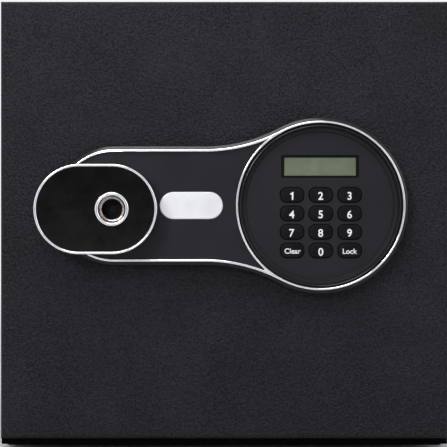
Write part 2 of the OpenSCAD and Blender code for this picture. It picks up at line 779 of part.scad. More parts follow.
// The ribbon from the keypad's connector through the back plate to the control board
module keypad_cable() color("#9a9ca0") on_door() {
    path = [[cable_x, -connector_t - 0.1], [cable_x, -8], [cable_end_x, -14],
            [cable_end_x, control_front + 0.1]];
    half = cable_t / 2;
    translate([0, cable_z + cable_w / 2, 0]) rotate([90, 0, 0]) linear_extrude(cable_w)
        polygon([
            path[0] + [half, 0], path[1] + [half, 0], path[2] + [half, 0], path[3] + [half, 0],
            path[3] - [half, 0], path[2] - [half, 0], path[1] - [half, 0], path[0] - [half, 0]
        ]);
}

// ---- Keys --------------------------------------------------------------------------------

module key(column, row) color("#1c1c20") on_door()
    translate([keys_x + (column - 1) * key_pitch_x, keys_top_z - row * key_pitch_z]) {
        intersection() {
            layer(key_back_h, face_h + key_rise) round_rect(key_w, key_h, key_r);
            translate([0, 0, face_h + key_rise - key_crown_r]) sphere(r = key_crown_r, $fn = 128);
        }
        layer(key_back_h, key_back_h + flange_t)
            round_rect(key_w + 2 * key_flange, key_h + 2 * key_flange, key_r + key_flange);
    }

// ---- Knob and key port -------------------------------------------------------------------

module at_knob() translate([knob_x, knob_z]) children();

module knob_outline(r) at_knob() translate([-knob_reach / 2, 0]) stadium(knob_reach + 2 * r, 2 * r);

module knob_rim() {
    mid = knob_r - rim_w / 2;
    at_knob() {
        rotate(-90) rotate_extrude(angle = 180) translate([mid, rim_mid_h]) circle(d = rim_w);
        translate([-knob_reach, 0, 0]) rotate(90)
            rotate_extrude(angle = 180) translate([mid, rim_mid_h]) circle(d = rim_w);
        for (s = [-1, 1]) translate([-knob_reach, s * mid, rim_mid_h]) rotate([0, 90, 0])
            cylinder(h = knob_reach, d = rim_w);
    }
}

module knob_body() color("#d9dade") on_door() difference() {
    union() {
        layer(knob_back_h + 1, rim_mid_h) knob_outline(knob_r);
        layer(knob_back_h, knob_back_h + 1 + eps) knob_outline(knob_r - 1);
        knob_rim();
        disc([knob_x, knob_z], arm_face_h + hub_gap, knob_back_h + cut, hub_d);
    }
    layer(insert_seat_h, knob_crest_h + cut) knob_outline(knob_r - rim_w);
    disc([knob_x, knob_z], socket_back_h, knob_crest_h + cut, 2 * port_r + 2 * seat_play);
    disc([knob_x, knob_z], 0, knob_crest_h, spindle_d);
}

module knob_insert() color("#171719") on_door() layer(insert_seat_h, insert_seat_h + insert_t)
    difference() {
        knob_outline(knob_r - rim_w - seat_play);
        at_knob() circle(port_r + seat_play);
    }

module port_ring() color("#d9dade") on_door() at_knob() rotate_extrude() {
    band = port_r - 1;
    lip_h = knob_crest_h; // the cup's step lies level with the knob's rim
    polygon([
        [port_hole_r, socket_top_h], [port_r, socket_top_h], [port_r, lip_h],
        [band - 1, lip_h], [band - 1, lip_h - 0.5], [port_r - 2.8, lip_h - 0.5],
        [port_hole_r + 0.2, lip_h - 4.6], [port_hole_r, lip_h - 4.6]
    ]);
    translate([band, lip_h - eps]) circle(1);
}

module port_socket() color("#121214") on_door() at_knob() difference() {
    translate([0, 0, socket_back_h]) cylinder(h = socket_top_h - socket_back_h, r = port_r - seat_play);
    translate([0, 0, port_floor_h]) cylinder(h = crest_h, r = port_hole_r);
    translate([0, 0, socket_back_h - cut]) cylinder(h = crest_h, d = spindle_bore_d);
}

module port_contact() color("#c9a24a") on_door() at_knob() {
    translate([0, 0, port_floor_h]) cylinder(h = 0.6, r = port_hole_r / 2);
    translate([0, 0, socket_back_h]) cylinder(h = socket_floor_t + eps, d = spindle_bore_d);
}

module spindle() color("#a7a9ae") on_door() at_knob() difference() {
    square_end = cam_back;
    stub_end = square_end - clip_t - 0.1;
    union() {
        translate([0, 0, bush_back - 0.1])
            cylinder(h = socket_back_h - bush_back + 0.1, d = spindle_d);
        translate([-spindle_square / 2, -spindle_square / 2, square_end])
            cube([spindle_square, spindle_square, bush_back - 0.1 - square_end + eps]);
        translate([0, 0, stub_end]) cylinder(h = square_end - stub_end + eps, d = spindle_square - 1);
        translate([0, 0, stub_end - 0.4]) cylinder(h = 0.4 + eps, d = spindle_square - 0.1);
    }
    translate([0, 0, -door_t - cover_d]) cylinder(h = 2 * (door_t + cover_d), d = spindle_bore_d);
}

module spindle_bush() color("#c2a05a") on_door() at_knob() difference() {
    union() {
        translate([0, 0, bush_back]) cylinder(h = arm_face_h - bush_back, d = bush_d);
        translate([0, 0, bush_back]) cylinder(h = -door_t - bush_back, d = bush_d + 6, $fn = 6);
    }
    translate([0, 0, bush_back - cut])
        cylinder(h = arm_face_h - bush_back + 2 * cut, d = spindle_d + 2 * turn_play);
}

module spindle_clip() color("#8e9095") on_door() at_knob()
    layer(cam_back - clip_t, cam_back) difference() {
        circle(d = spindle_square + 5);
        circle(d = spindle_square - 1);
        polygon([[0, 0], [-4, -9], [4, -9]]);
    }

// ---- Bolt work ---------------------------------------------------------------------------

module cam_plate() color("#9b9da2") on_door() difference() {
    layer(cam_back, cam_front) {
        at_knob() circle(d = 18);
        translate(crank_at) circle(d = crank_pin_d + 6);
        at_knob() rotate(45) translate([0, -crank_pin_d / 2 - 2])
            square([crank_r, crank_pin_d + 4]);
    }
    at_knob() translate([0, 0, cam_back - cut]) linear_extrude(carriage_t + 2 * cut)
        square(spindle_square + 2 * turn_play, center = true);
    disc(crank_at, cam_back - cut, cam_front + cut, crank_pin_d);
}

module crank_pin() color("#b9bcc2") on_door()
    disc(crank_at, carriage_back - 0.5, cam_front, crank_pin_d);

module bolt_carriage() color("#9b9da2") on_door() {
    slot_w = crank_pin_d + 2 * crank_play;
    slot_low = crank_at[1] - slot_w / 2;
    slot_high = knob_z + crank_r + slot_w / 2;
    reach = bolt_spread / 2 + bolt_d / 2 + 2;
    ear_back = bolt_depth + bolt_d / 2 + 1.5;
    difference() {
        layer(carriage_back, carriage_front) {
            translate([ear_x, knob_z - reach]) square([column_w, 2 * reach]);
            translate([ear_x, tab_bottom]) square([tab_right - ear_x, tab_top - tab_bottom]);
        }
        // the upright slot that the crank pin runs in
        translate([crank_at[0], (slot_low + slot_high) / 2, carriage_back - cut])
            linear_extrude(carriage_t + 2 * cut) rotate(90) stadium(slot_high - slot_low, slot_w);
    }
    for (z = bolt_heights) difference() {
        block(ear_x, ear_x + ear_t, z - guide_half + 2, z + guide_half - 2,
              -ear_back, carriage_front);
        bar_x(ear_x - cut, ear_x + ear_t + cut, z, -bolt_depth, bolt_stud_d);
    }
}

// The ramped tooth that the dropped plunger stands behind while the bolts are thrown
module lock_tooth() color("#8e9095") on_door() layer(carriage_back, carriage_front) {
    tooth_x = plunger_x + plunger_d / 2 + tooth_gap;
    tooth_end = tooth_x + bolt_throw - plunger_d - 2 * tooth_gap;
    polygon([[tooth_x, tab_top], [tooth_x + tooth_h * 0.9, tab_top + tooth_h],
             [tooth_end, tab_top + tooth_h], [tooth_end, tab_top]]);
}

module locking_bolts() color("#c9ccd1") on_door() for (z = bolt_heights) {
    nose = 1.5;
    bar_x(bolt_tip_x + nose, ear_x, z, -bolt_depth, bolt_d);
    translate([bolt_tip_x, z, -bolt_depth]) rotate([0, 90, 0])
        cylinder(h = nose + eps, r1 = bolt_d / 2 - nose, r2 = bolt_d / 2);
    bar_x(ear_x - eps, ear_x + ear_t, z, -bolt_depth, bolt_stud_d);
}

module bolt_guides() color("#e3e2dc") on_door() for (z = bolt_heights) {
    guide_x = cover_x + cover_wall + 0.2;
    difference() {
        block(guide_x, guide_x + guide_len, z - guide_half, z + guide_half,
              -bolt_depth - guide_half + 1, -door_t);
        bar_x(guide_x - cut, guide_x + guide_len + cut, z, -bolt_depth, bolt_d + 2 * guide_play);
    }
}

// ---- Solenoid ----------------------------------------------------------------------------

module solenoid_frame() color("#8e9095") on_door() {
    x0 = plunger_x - solenoid_w / 2;
    frame_back = 2 * carriage_mid + door_t;
    difference() {
        union() for (z = [solenoid_z, solenoid_z + solenoid_h - solenoid_wall])
            block(x0, x0 + solenoid_w, z, z + solenoid_wall, frame_back, -door_t);
        bar_up(plunger_x, solenoid_z - cut, solenoid_z + solenoid_wall + cut, carriage_mid,
               plunger_d + 2 * guide_play);
    }
    block(x0, x0 + solenoid_w, solenoid_z, solenoid_z + solenoid_h,
          -door_t - solenoid_wall, -door_t);
}

module solenoid_coil() color("#b5562a") on_door() difference() {
    z0 = solenoid_z + solenoid_wall;
    z1 = solenoid_z + solenoid_h - solenoid_wall;
    bar_up(plunger_x, z0, z1, carriage_mid, coil_d);
    bar_up(plunger_x, z0 - cut, z1 + cut, carriage_mid, plunger_d + 2 * guide_play);
}

module solenoid_plunger() color("#b9bcc2") on_door() {
    top = solenoid_z + solenoid_h - solenoid_wall - 1;
    bar_up(plunger_x, plunger_tip, top, carriage_mid, plunger_d);
    bar_up(plunger_x, collar_z, collar_z + collar_t, carriage_mid, collar_d);
}

module solenoid_spring() color("#c9ccd1") {
    low = collar_z + collar_t;
    translate([plunger_x, door_front_y - carriage_mid, low + 0.05])
        helix_spring(plunger_d / 2 + 0.8, spring_wire, solenoid_z - low - 0.1, spring_turns);
}

// ---- Cover, board and batteries ----------------------------------------------------------

module cover_outline(inset) translate([cover_x + cover_w / 2, cover_z + cover_h / 2])
    round_rect(cover_w - 2 * inset, cover_h - 2 * inset, cover_r - inset);

module lid_ears() for (x = [tray_x - lid_w / 2 - lid_ear_gap - lid_ear_w,
                            tray_x + lid_w / 2 + lid_ear_gap]) difference() {
    block(x, x + lid_ear_w, lid_axis_z - 3, lid_axis_z + 3,
          lid_axis_depth - 2.6, cover_back + eps);
    bar_x(x - cut, x + lid_ear_w + cut, lid_axis_z, lid_axis_depth, lid_pin_d + 2 * turn_play);
}

module mechanism_cover() color("#2b2b2f") on_door() {
    difference() {
        union() {
            difference() {
                layer(cover_back, -door_t) cover_outline(0);
                layer(cover_inner, -door_t + cut) cover_outline(cover_wall);
            }
            for (p = cover_screws_at) disc(p, cover_back + eps, -door_t, cover_screw_d + 4);
        }
        for (p = cover_screws_at)
            disc(p, cover_back - cut, -door_t + cut, cover_screw_d + 0.4);
        for (z = bolt_heights)
            bar_x(cover_x - cut, cover_x + cover_wall + cut, z, -bolt_depth,
                  bolt_d + 2 * bolt_play);
        layer(cover_back - cut, cover_inner + cut) translate([tray_x, tray_z])
            round_rect(window_w, window_h, 2);
        disc(button_at, cover_back - cut, cover_inner + cut, button_d + 2 * key_play);
    }
    lid_ears();
}

module cover_screws() color("#b9bcc2") on_door() for (p = cover_screws_at) {
    disc(p, cover_back - 1.8, cover_back, cover_screw_d + 2.6);
    disc(p, cover_back - eps, -door_t + back_plate_t, cover_screw_d);
}

// A component on the board's back: middle, size and height
module board_part(x, y, w, h, t)
    translate([x, y, control_front - control_t - t]) linear_extrude(t + eps)
        square([w, h], center = true);

module control_board() color("#1f5a3a") on_door() translate(control_at) {
    switch_at = button_at - control_at;
    layer(control_front - control_t, control_front) square(control_size, center = true);
    for (p = board_parts) board_part(p[0], p[1], p[2], p[3], p[4]);
    board_part(switch_at[0], switch_at[1], 6, 6, switch_h);
    translate([buzzer_at[0], buzzer_at[1], control_front - control_t - buzzer_h])
        cylinder(h = buzzer_h + eps, d = buzzer_d);
}

module reset_button() color("#b3201f") on_door() {
    disc(button_at, cover_back - button_rise, cover_inner + 1, button_d);
    disc(button_at, cover_inner + 0.1, cover_inner + 1.3, button_d + 3);
    disc(button_at, cover_inner + 1, control_front - control_t - switch_h - button_travel - 0.5, 5);
}

module battery_tray() color("#1d1d20") on_door() translate([tray_x, tray_z]) difference() {
    layer(cover_inner + lid_gap, tray_front) round_rect(tray_w, tray_h, 2);
    layer(cover_inner - cut, tray_front - tray_wall)
        round_rect(tray_w - 2 * tray_wall, tray_h - 2 * tray_wall, 0.5 + eps);
}

module cell_places() for (i = [0:3])
    translate([tray_x + (i - 1.5) * cell_pitch, tray_z]) mirror([0, i % 2]) children();

module battery_cells() color("#44546a") on_door() cell_places() {
    bar_up(0, -cell_len / 2, cell_len / 2 - 1, cell_mid, cell_d);
    bar_up(0, cell_len / 2 - 1 - eps, cell_len / 2, cell_mid, cell_cap_d);
}

module battery_contacts() color("#c9ccd1") on_door() cell_places() {
    plate_t = 0.5;
    end = cell_len / 2 + contact_room;
    block(-5, 5, end - plate_t, end, cell_mid - 4, cell_mid + 4);
    block(-3, 3, cell_len / 2 + 0.1, end - plate_t + eps, cell_mid - 2.5, cell_mid + 2.5);
    block(-5, 5, -end, -end + plate_t, cell_mid - 4, cell_mid + 4);
    bar_up(0, -end + plate_t - eps, -cell_len / 2 - 0.1, cell_mid, 6);
}

module battery_lid() color("#2b2b2f") on_door() difference() {
    union() {
        translate([tray_x, tray_z]) layer(cover_back - lid_gap - lid_t, cover_back - lid_gap)
            round_rect(lid_w, lid_h, 2);
        block(tray_x - lid_w / 2, tray_x + lid_w / 2, lid_axis_z, tray_z - lid_h / 2 + 3,
              cover_back - lid_gap - lid_t, cover_back - lid_gap - 0.3);
        bar_x(tray_x - lid_w / 2, tray_x + lid_w / 2, lid_axis_z, lid_axis_depth, lid_barrel_d);
        bar_x(tray_x - lid_w / 2 - lid_ear_w, tray_x + lid_w / 2 + lid_ear_w,
              lid_axis_z, lid_axis_depth, lid_pin_d);
    }
    // finger hollow at the top edge
    translate([tray_x, tray_z + lid_h / 2 - 7, cover_back - lid_gap - lid_t - 18.9])
        sphere(r = 20, $fn = 96);
}

body_shell();
back_panel();
front_frame();
floor_mat();
hinge_tongues();
door_panel();
door_back_plate();
hinge_pins();
hinge_washers();
lock_housing();
outline_trim();
keypad_ring();
keypad_bezel();
keypad_face();
keypad_board();
keypad_mat();
display_module();
display_lens();
name_plate();
housing_screws();
keypad_cable();
key(0, 0);  // key_1
key(1, 0);  // key_2
key(2, 0);  // key_3
key(0, 1);  // key_4
key(1, 1);  // key_5
key(2, 1);  // key_6
key(0, 2);  // key_7
key(1, 2);  // key_8
key(2, 2);  // key_9
key(0, 3);  // key_clear
key(1, 3);  // key_0
key(2, 3);  // key_lock
knob_body();
knob_insert();
port_ring();
port_socket();
port_contact();
spindle();
spindle_bush();
spindle_clip();
cam_plate();
crank_pin();
bolt_carriage();
lock_tooth();
locking_bolts();
bolt_guides();
solenoid_frame();
solenoid_coil();
solenoid_plunger();
solenoid_spring();
mechanism_cover();
cover_screws();
control_board();
reset_button();
battery_tray();
battery_cells();
battery_contacts();
battery_lid();
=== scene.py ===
"""In-room safe: camera, materials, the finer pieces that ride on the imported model, and the studio."""

import json
import math

import bmesh
import bpy
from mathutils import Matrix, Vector
from mathutils.bvhtree import BVHTree


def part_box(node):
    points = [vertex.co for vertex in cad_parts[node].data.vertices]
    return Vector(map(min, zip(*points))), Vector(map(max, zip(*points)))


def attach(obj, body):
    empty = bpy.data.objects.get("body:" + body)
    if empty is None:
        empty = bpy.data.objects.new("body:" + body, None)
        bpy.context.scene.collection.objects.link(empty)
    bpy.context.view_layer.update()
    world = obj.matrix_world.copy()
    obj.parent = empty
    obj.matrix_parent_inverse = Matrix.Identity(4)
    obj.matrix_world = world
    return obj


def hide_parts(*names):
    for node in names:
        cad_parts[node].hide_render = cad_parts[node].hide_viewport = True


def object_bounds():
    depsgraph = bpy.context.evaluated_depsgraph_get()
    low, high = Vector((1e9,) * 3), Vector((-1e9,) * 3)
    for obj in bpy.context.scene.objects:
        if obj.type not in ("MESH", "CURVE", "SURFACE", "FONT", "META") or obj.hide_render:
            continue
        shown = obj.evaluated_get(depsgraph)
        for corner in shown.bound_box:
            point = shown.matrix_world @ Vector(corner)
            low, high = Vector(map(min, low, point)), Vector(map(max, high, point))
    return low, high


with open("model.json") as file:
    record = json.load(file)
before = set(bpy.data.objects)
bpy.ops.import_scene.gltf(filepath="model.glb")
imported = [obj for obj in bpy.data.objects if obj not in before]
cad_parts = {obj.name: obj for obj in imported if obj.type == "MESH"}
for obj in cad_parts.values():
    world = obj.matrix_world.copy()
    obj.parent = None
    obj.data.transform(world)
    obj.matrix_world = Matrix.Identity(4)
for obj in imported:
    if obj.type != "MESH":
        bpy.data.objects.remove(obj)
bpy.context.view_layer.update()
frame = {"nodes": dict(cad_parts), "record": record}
MM = 0.001


def add_object(name, data):
    """A new object in the scene."""
    made = bpy.data.objects.new(name, data)
    bpy.context.scene.collection.objects.link(made)
    return made


# Points of the photograph, as (x, y). An edge keeps the one number that it is measured along.
IMAGE_WIDTH = 447
IMAGE_HEIGHT = 447
IMAGE_POINTS = {
    "safe_left": (0.4, None),
    "safe_top": (None, 1.3),
    "safe_bottom": (None, 444.9),
    "ring_left": (236.2, None),
    "ring_right": (405.9, None),
    "ring_top": (None, 120.4),
    "ring_bottom": (None, 290.4),
    "knob_left": (34.0, None),
    "knob_right": (158.5, None),
    "knob_top": (None, 163.2),
    "knob_bottom": (None, 255.3),
    "port": (112.2, 209.6),
    "plate": (191.4, 206.1),
    "display": (320.4, 166.7),
    "legend_1": (291.8, 195.9),
    "legend_9": (349.6, 233.0),
    "legend_clear": (292.7, 251.1),
    "legend_0": (320.8, 251.9),
    "legend_lock": (350.0, 251.3),
}

CAMERA_PLACE = Vector((-0.56, -961.5, 142.1)) * MM
CAMERA_LENS = 103.1  # mm, for a sensor of the width below
CAMERA_SENSOR = 36.0
CAMERA_NEAR = 10 * MM
CAMERA_FAR = 100.0


def make_camera():
    """The camera, level and square to the door."""
    data = bpy.data.cameras.new("camera")
    data.lens = CAMERA_LENS
    data.sensor_width = CAMERA_SENSOR
    data.sensor_fit = "AUTO"
    data.clip_start = CAMERA_NEAR
    data.clip_end = CAMERA_FAR
    camera = add_object("camera", data)
    camera.location = CAMERA_PLACE
    camera.rotation_euler = (math.radians(90), 0, 0)
    bpy.context.scene.camera = camera
    bpy.context.view_layer.update()
    return camera


camera = make_camera()


def ray(point):
    """Start and direction of the camera's ray through an image point."""
    data = camera.data
    longest = max(IMAGE_WIDTH, IMAGE_HEIGHT)
    aim = Vector((
        point[0] - IMAGE_WIDTH / 2 + data.shift_x * longest,
        IMAGE_HEIGHT / 2 - point[1] + data.shift_y * longest,
        -longest * data.lens / data.sensor_width,
    ))
    turn = camera.matrix_world.to_3x3()
    return camera.matrix_world.translation.copy(), (turn @ aim).normalized()


def image_point(place):
    """Where a place of the frame shows in the image."""
    data = camera.data
    longest = max(IMAGE_WIDTH, IMAGE_HEIGHT)
    seen = camera.matrix_world.inverted() @ Vector(place)
    scale = longest * data.lens / data.sensor_width / -seen.z
    return (
        IMAGE_WIDTH / 2 + seen.x * scale - data.shift_x * longest,
        IMAGE_HEIGHT / 2 - seen.y * scale + data.shift_y * longest,
    )


def on_surface(point, *carriers):
    """Place and normal where the ray through an image point meets the pieces that carry what is put there."""
    start, aim = ray(point)
    corners, faces = [], []
    for carrier in carriers:
        first = len(corners)
        corners += [carrier.matrix_world @ v.co for v in carrier.data.vertices]
        faces += [[first + i for i in p.vertices] for p in carrier.data.polygons]
    tree = BVHTree.FromPolygons(corners, faces)
    place, normal, _, _ = tree.ray_cast(start, aim)
    if place is None:
        nearest = min(corners, key=lambda c: (c - start - aim * (c - start).dot(aim)).length)
        place, normal, _, _ = tree.find_nearest(nearest)
    if normal.dot(aim) > 0:
        normal = -normal
    return place, normal


# ---------------------------------------------------------------- materials

def srgb(red, green, blue):
    """A colour as the eye reads it, from 0 to 255, as the linear colour that a shader takes."""
    def linear(value):
        value = value / 255
        return value / 12.92 if value <= 0.04045 else ((value + 0.055) / 1.055) ** 2.4
    return linear(red), linear(green), linear(blue), 1.0


# Sockets of a Mix node that mixes colours
MIX_DARK = 6
MIX_LIGHT = 7
MIX_COLOUR = 2


class Nodes:
    """Short calls for the nodes that the materials and the world share. Sizes are in metres."""

    def __init__(self, tree):
        self.tree = tree

    def node(self, kind, **settings):
        made = self.tree.nodes.new(kind)
        for key, value in settings.items():
            setattr(made, key, value)
        return made

    def feed(self, socket, value):
        if isinstance(value, bpy.types.NodeSocket):
            self.tree.links.new(value, socket)
        else:
            socket.default_value = value

    def mix(self, share, first, second):
        """A blend of two shaders, by the second one's share."""
        made = self.node("ShaderNodeMixShader")
        self.feed(made.inputs[0], share)
        self.feed(made.inputs[1], first.outputs[0])
        self.feed(made.inputs[2], second.outputs[0])
        return made

    def stretched(self, along):
        """The place, scaled along x, y and z, so that a pattern draws out into fibres or brush lines."""
        made = self.node("ShaderNodeVectorMath", operation="MULTIPLY")
        self.feed(made.inputs[0], self.place)
        made.inputs[1].default_value = along
        return made.outputs[0]

    def noise(self, size, detail=2.0, rough=0.5, place=None):
        made = self.node("ShaderNodeTexNoise")
        self.feed(made.inputs["Vector"], place or self.place)
        made.inputs["Scale"].default_value = 1 / size
        made.inputs["Detail"].default_value = detail
        made.inputs["Roughness"].default_value = rough
        return made.outputs["Fac"]

    def cells(self, size, spread=1.0, feature="F1"):
        made = self.node("ShaderNodeTexVoronoi", feature=feature)
        self.feed(made.inputs["Vector"], self.place)
        made.inputs["Scale"].default_value = 1 / size
        made.inputs["Randomness"].default_value = spread
        return made.outputs["Distance"]

    def waves(self, scale, direction, distortion=0.0):
        made = self.node("ShaderNodeTexWave", wave_type="BANDS", bands_direction=direction)
        self.feed(made.inputs["Vector"], self.place)
        made.inputs["Scale"].default_value = scale
        made.inputs["Distortion"].default_value = distortion
        return made.outputs["Fac"]

    def spread(self, value, low, high, start=0.3, stop=0.7):
        """A pattern's value, from start to stop, brought to the range from low to high."""
        made = self.node("ShaderNodeMapRange")
        self.feed(made.inputs["Value"], value)
        made.inputs["From Min"].default_value = start
        made.inputs["From Max"].default_value = stop
        made.inputs["To Min"].default_value = low
        made.inputs["To Max"].default_value = high
        return made.outputs["Result"]

    def calc(self, first, second, operation="ADD"):
        made = self.node("ShaderNodeMath", operation=operation)
        self.feed(made.inputs[0], first)
        self.feed(made.inputs[1], second)
        return made.outputs[0]

    def weigh(self, first, share, second, rest):
        """Two patterns added up, each times its own share."""
        return self.calc(self.calc(first, share, "MULTIPLY"), self.calc(second, rest, "MULTIPLY"))

    def tint(self, factor, dark, light):
        made = self.node("ShaderNodeMix", data_type="RGBA")
        self.feed(made.inputs[0], factor)
        self.feed(made.inputs[MIX_DARK], dark)
        self.feed(made.inputs[MIX_LIGHT], light)
        return made.outputs[MIX_COLOUR]


class Look(Nodes):
    """One material round a Principled shader. Patterns run over the piece's own place in the frame."""

    def __init__(self, name, color, roughness, metallic=0.0, specular=0.5, coat=0.0):
        self.material = bpy.data.materials.new(name)
        self.material.use_nodes = True
        super().__init__(self.material.node_tree)
        self.shader = self.tree.nodes["Principled BSDF"]
        self.place = self.node("ShaderNodeTexCoord").outputs["Object"]
        self.put("Base Color", color)
        self.put("Roughness", roughness)
        self.put("Metallic", metallic)
        self.put("Specular IOR Level", specular)
        self.put("Coat Weight", coat)
        self.put("Coat Roughness", 0.05)

    def put(self, name, value):
        self.feed(self.shader.inputs[name], value)

    def stain(self, pattern, dark, light, start=0.3, stop=0.7):
        """Colours the piece from dark to light by a pattern."""
        self.put("Base Color", self.tint(self.spread(pattern, 0, 1, start, stop), dark, light))

    def dull(self, pattern, low, high, start=0.3, stop=0.7):
        """Makes the piece rougher, from low to high, by a pattern."""
        self.put("Roughness", self.spread(pattern, low, high, start, stop))

    def bump(self, height, depth):
        made = self.node("ShaderNodeBump")
        self.feed(made.inputs["Height"], height)
        made.inputs["Distance"].default_value = depth
        self.put("Normal", made.outputs["Normal"])


def shade(color, factor):
    """The same colour, darker or lighter."""
    return tuple(min(1.0, part * factor) for part in color[:3]) + (1.0,)


def powder_coat(name, color, grain, depth):
    """Fine textured powder coat: rounded grains that catch the light, with faint clouds of shade."""
    look = Look(name, color, 0.5)
    clouds = look.noise(38 * MM, detail=3)
    grains = look.noise(grain, detail=3, rough=0.62)
    pits = look.cells(grain * 1.3, feature="SMOOTH_F1")
    look.stain(look.weigh(clouds, 0.45, grains, 0.55), shade(color, 0.5), shade(color, 1.6))
    look.dull(grains, 0.4, 0.58)
    look.put("Specular IOR Level", look.spread(grains, 0.08, 0.24, 0.36, 0.64))
    look.bump(look.calc(grains, look.calc(pits, 0.5, "MULTIPLY")), depth)
    return look.material


def moulding(name, color, roughness, grain=0.25 * MM, depth=0.01 * MM, specular=0.3, marks=1.12):
    """Moulded plastic: a fine grain, faint flow clouds and handling marks in the gloss."""
    look = Look(name, color, roughness, specular=specular)
    flow = look.noise(24 * MM, detail=3)
    skin = look.noise(grain, detail=2)
    look.stain(flow, shade(color, 2 - marks), shade(color, marks))
    look.dull(look.weigh(flow, 0.6, skin, 0.4), roughness - 0.06, roughness + 0.06)
    look.bump(skin, depth)
    return look.material


def plating(name, color, roughness):
    """Bright plating: a mirror with a slow ripple and faint haze."""
    look = Look(name, color, roughness, metallic=1.0)
    haze = look.noise(9 * MM, detail=4)
    ripple = look.noise(6 * MM, detail=1)
    look.stain(haze, shade(color, 0.95), color)
    look.dull(haze, roughness, roughness + 0.06)
    look.bump(ripple, 0.004 * MM)
    return look.material


def brushed(name, color, roughness, along, line=0.35 * MM):
    """Brushed or ground metal: lines drawn out along one direction."""
    look = Look(name, color, roughness, metallic=1.0)
    lines = look.noise(line, detail=3, place=look.stretched(along))
    clouds = look.noise(14 * MM, detail=3)
    look.stain(clouds, shade(color, 0.82), color)
    look.dull(lines, roughness - 0.08, roughness + 0.1)
    look.bump(lines, 0.006 * MM)
    return look.material


def door_paint():
    return powder_coat("door_paint", srgb(26, 25, 31), 1.25 * MM, 0.9 * MM)


def body_paint():
    return powder_coat("body_paint", srgb(26, 26, 30), 1.25 * MM, 0.9 * MM)


def housing_plastic():
    return moulding(
        "housing_plastic", srgb(34, 32, 37), 0.46, grain=0.4 * MM, depth=0.012 * MM, specular=0.15,
    )


def bezel_plastic():
    return moulding("bezel_plastic", srgb(32, 30, 34), 0.45, specular=0.15)


def face_plastic():
    return moulding("face_plastic", srgb(34, 32, 37), 0.5, grain=0.3 * MM, specular=0.15, marks=1.06)


def key_rubber():
    """Satin key caps, a little polished in patches."""
    look = Look("key_rubber", srgb(16, 16, 20), 0.42, specular=0.1)
    skin = look.noise(0.3 * MM, detail=2)
    touch = look.noise(7 * MM, detail=2)
    look.stain(touch, srgb(13, 13, 17), srgb(20, 20, 24))
    look.dull(touch, 0.34, 0.5)
    look.bump(skin, 0.012 * MM)
    return look.material


def chrome_trim():
    return plating("chrome_trim", srgb(248, 249, 252), 0.06)


def funnel_metal():
    """Steel of the key port's funnel, darkened and browned in blotches. The darker colour is painted shade
    for the inside of the deep funnel.
    """
    look = Look("funnel_metal", srgb(158, 144, 136), 0.14, metallic=1.0)
    blotches = look.noise(2.5 * MM, detail=3)
    look.stain(blotches, srgb(128, 112, 104), srgb(186, 176, 170))
    look.dull(blotches, 0.1, 0.26)
    look.bump(blotches, 0.01 * MM)
    return look.material


def rim_gloss():
    """Gloss black edges round the beads and the keypad's bezel, with fine rub marks."""
    look = Look("rim_gloss", srgb(16, 16, 18), 0.16, specular=0.3)
    marks = look.noise(1.2 * MM, detail=3)
    look.stain(marks, srgb(13, 13, 15), srgb(18, 18, 20))
    look.dull(marks, 0.12, 0.22)
    look.bump(marks, 0.003 * MM)
    return look.material


def white_print():
    """Printed white ink, with the slight unevenness of pad printing."""
    look = Look("white_print", srgb(236, 236, 238), 0.5, specular=0.3)
    ink = look.noise(0.5 * MM, detail=3)
    look.stain(ink, srgb(226, 226, 229), srgb(243, 243, 244))
    look.dull(ink, 0.42, 0.6)
    look.bump(ink, 0.01 * MM)
    return look.material


def insert_gloss():
    """Gloss black moulding with faint hairline scratches and a smear of dust."""
    look = Look("insert_gloss", srgb(14, 14, 14), 0.12, specular=0.24)
    dust = look.noise(12 * MM, detail=5, rough=0.6)
    hair = look.noise(0.6 * MM, detail=2, place=look.stretched((0.08, 1.0, 1.0)))
    look.stain(dust, srgb(11, 11, 11), srgb(17, 17, 17))
    look.dull(dust, 0.08, 0.2, 0.35, 0.75)
    look.bump(hair, 0.0008 * MM)
    return look.material


def socket_plastic():
    return moulding("socket_plastic", srgb(7, 7, 8), 0.45, specular=0.12)


# Near black and nearly without shine: painted shadow for the lip under the door
def shadow_lip_black():
    return moulding("shadow_lip_black", srgb(4, 4, 5), 0.8, specular=0.02)


def plate_silver():
    """Pearl silver lacquer: fine flake, and a clear coat over it."""
    look = Look("plate_silver", srgb(231, 231, 235), 0.3, metallic=0.15, specular=0.4, coat=0.5)
    flake = look.cells(0.12 * MM)
    pearl = look.noise(16 * MM, detail=2)
    mix = look.weigh(flake, 0.35, pearl, 0.8)
    look.stain(mix, srgb(224, 224, 229), srgb(251, 251, 253), 0.3, 0.9)
    look.dull(flake, 0.24, 0.38, 0.1, 0.7)
    look.bump(flake, 0.003 * MM)
    return look.material


def lcd_glass():
    """Grey-green display film, faintly clouded and with a fine grain."""
    look = Look("lcd_glass", srgb(104, 112, 92), 0.22, specular=0.25)
    cloud = look.noise(13 * MM, detail=3)
    grain = look.noise(0.2 * MM, detail=1)
    mix = look.weigh(cloud, 0.85, grain, 0.15)
    look.stain(mix, srgb(95, 103, 85), srgb(111, 118, 98))
    look.dull(cloud, 0.16, 0.3)
    look.bump(grain, 0.002 * MM)
    return look.material


def lcd_metal():
    return brushed("lcd_metal", srgb(150, 152, 156), 0.38, (0.1, 1.0, 1.0))


def board_green():
    """Solder mask with copper tracks showing paler through it."""
    look = Look("board_green", srgb(26, 82, 52), 0.34, specular=0.5)
    edges = look.cells(4.5 * MM, spread=0.35, feature="DISTANCE_TO_EDGE")
    cloud = look.noise(9 * MM, detail=2)
    tracks = look.spread(edges, 1, 0, 0.05, 0.09)
    look.put("Base Color", look.tint(tracks, srgb(22, 74, 46), srgb(44, 108, 66)))
    look.dull(cloud, 0.28, 0.42)
    look.bump(tracks, 0.03 * MM)
    return look.material


def mat_rubber():
    return moulding("mat_rubber", srgb(48, 48, 50), 0.6, grain=0.4 * MM, depth=0.02 * MM)


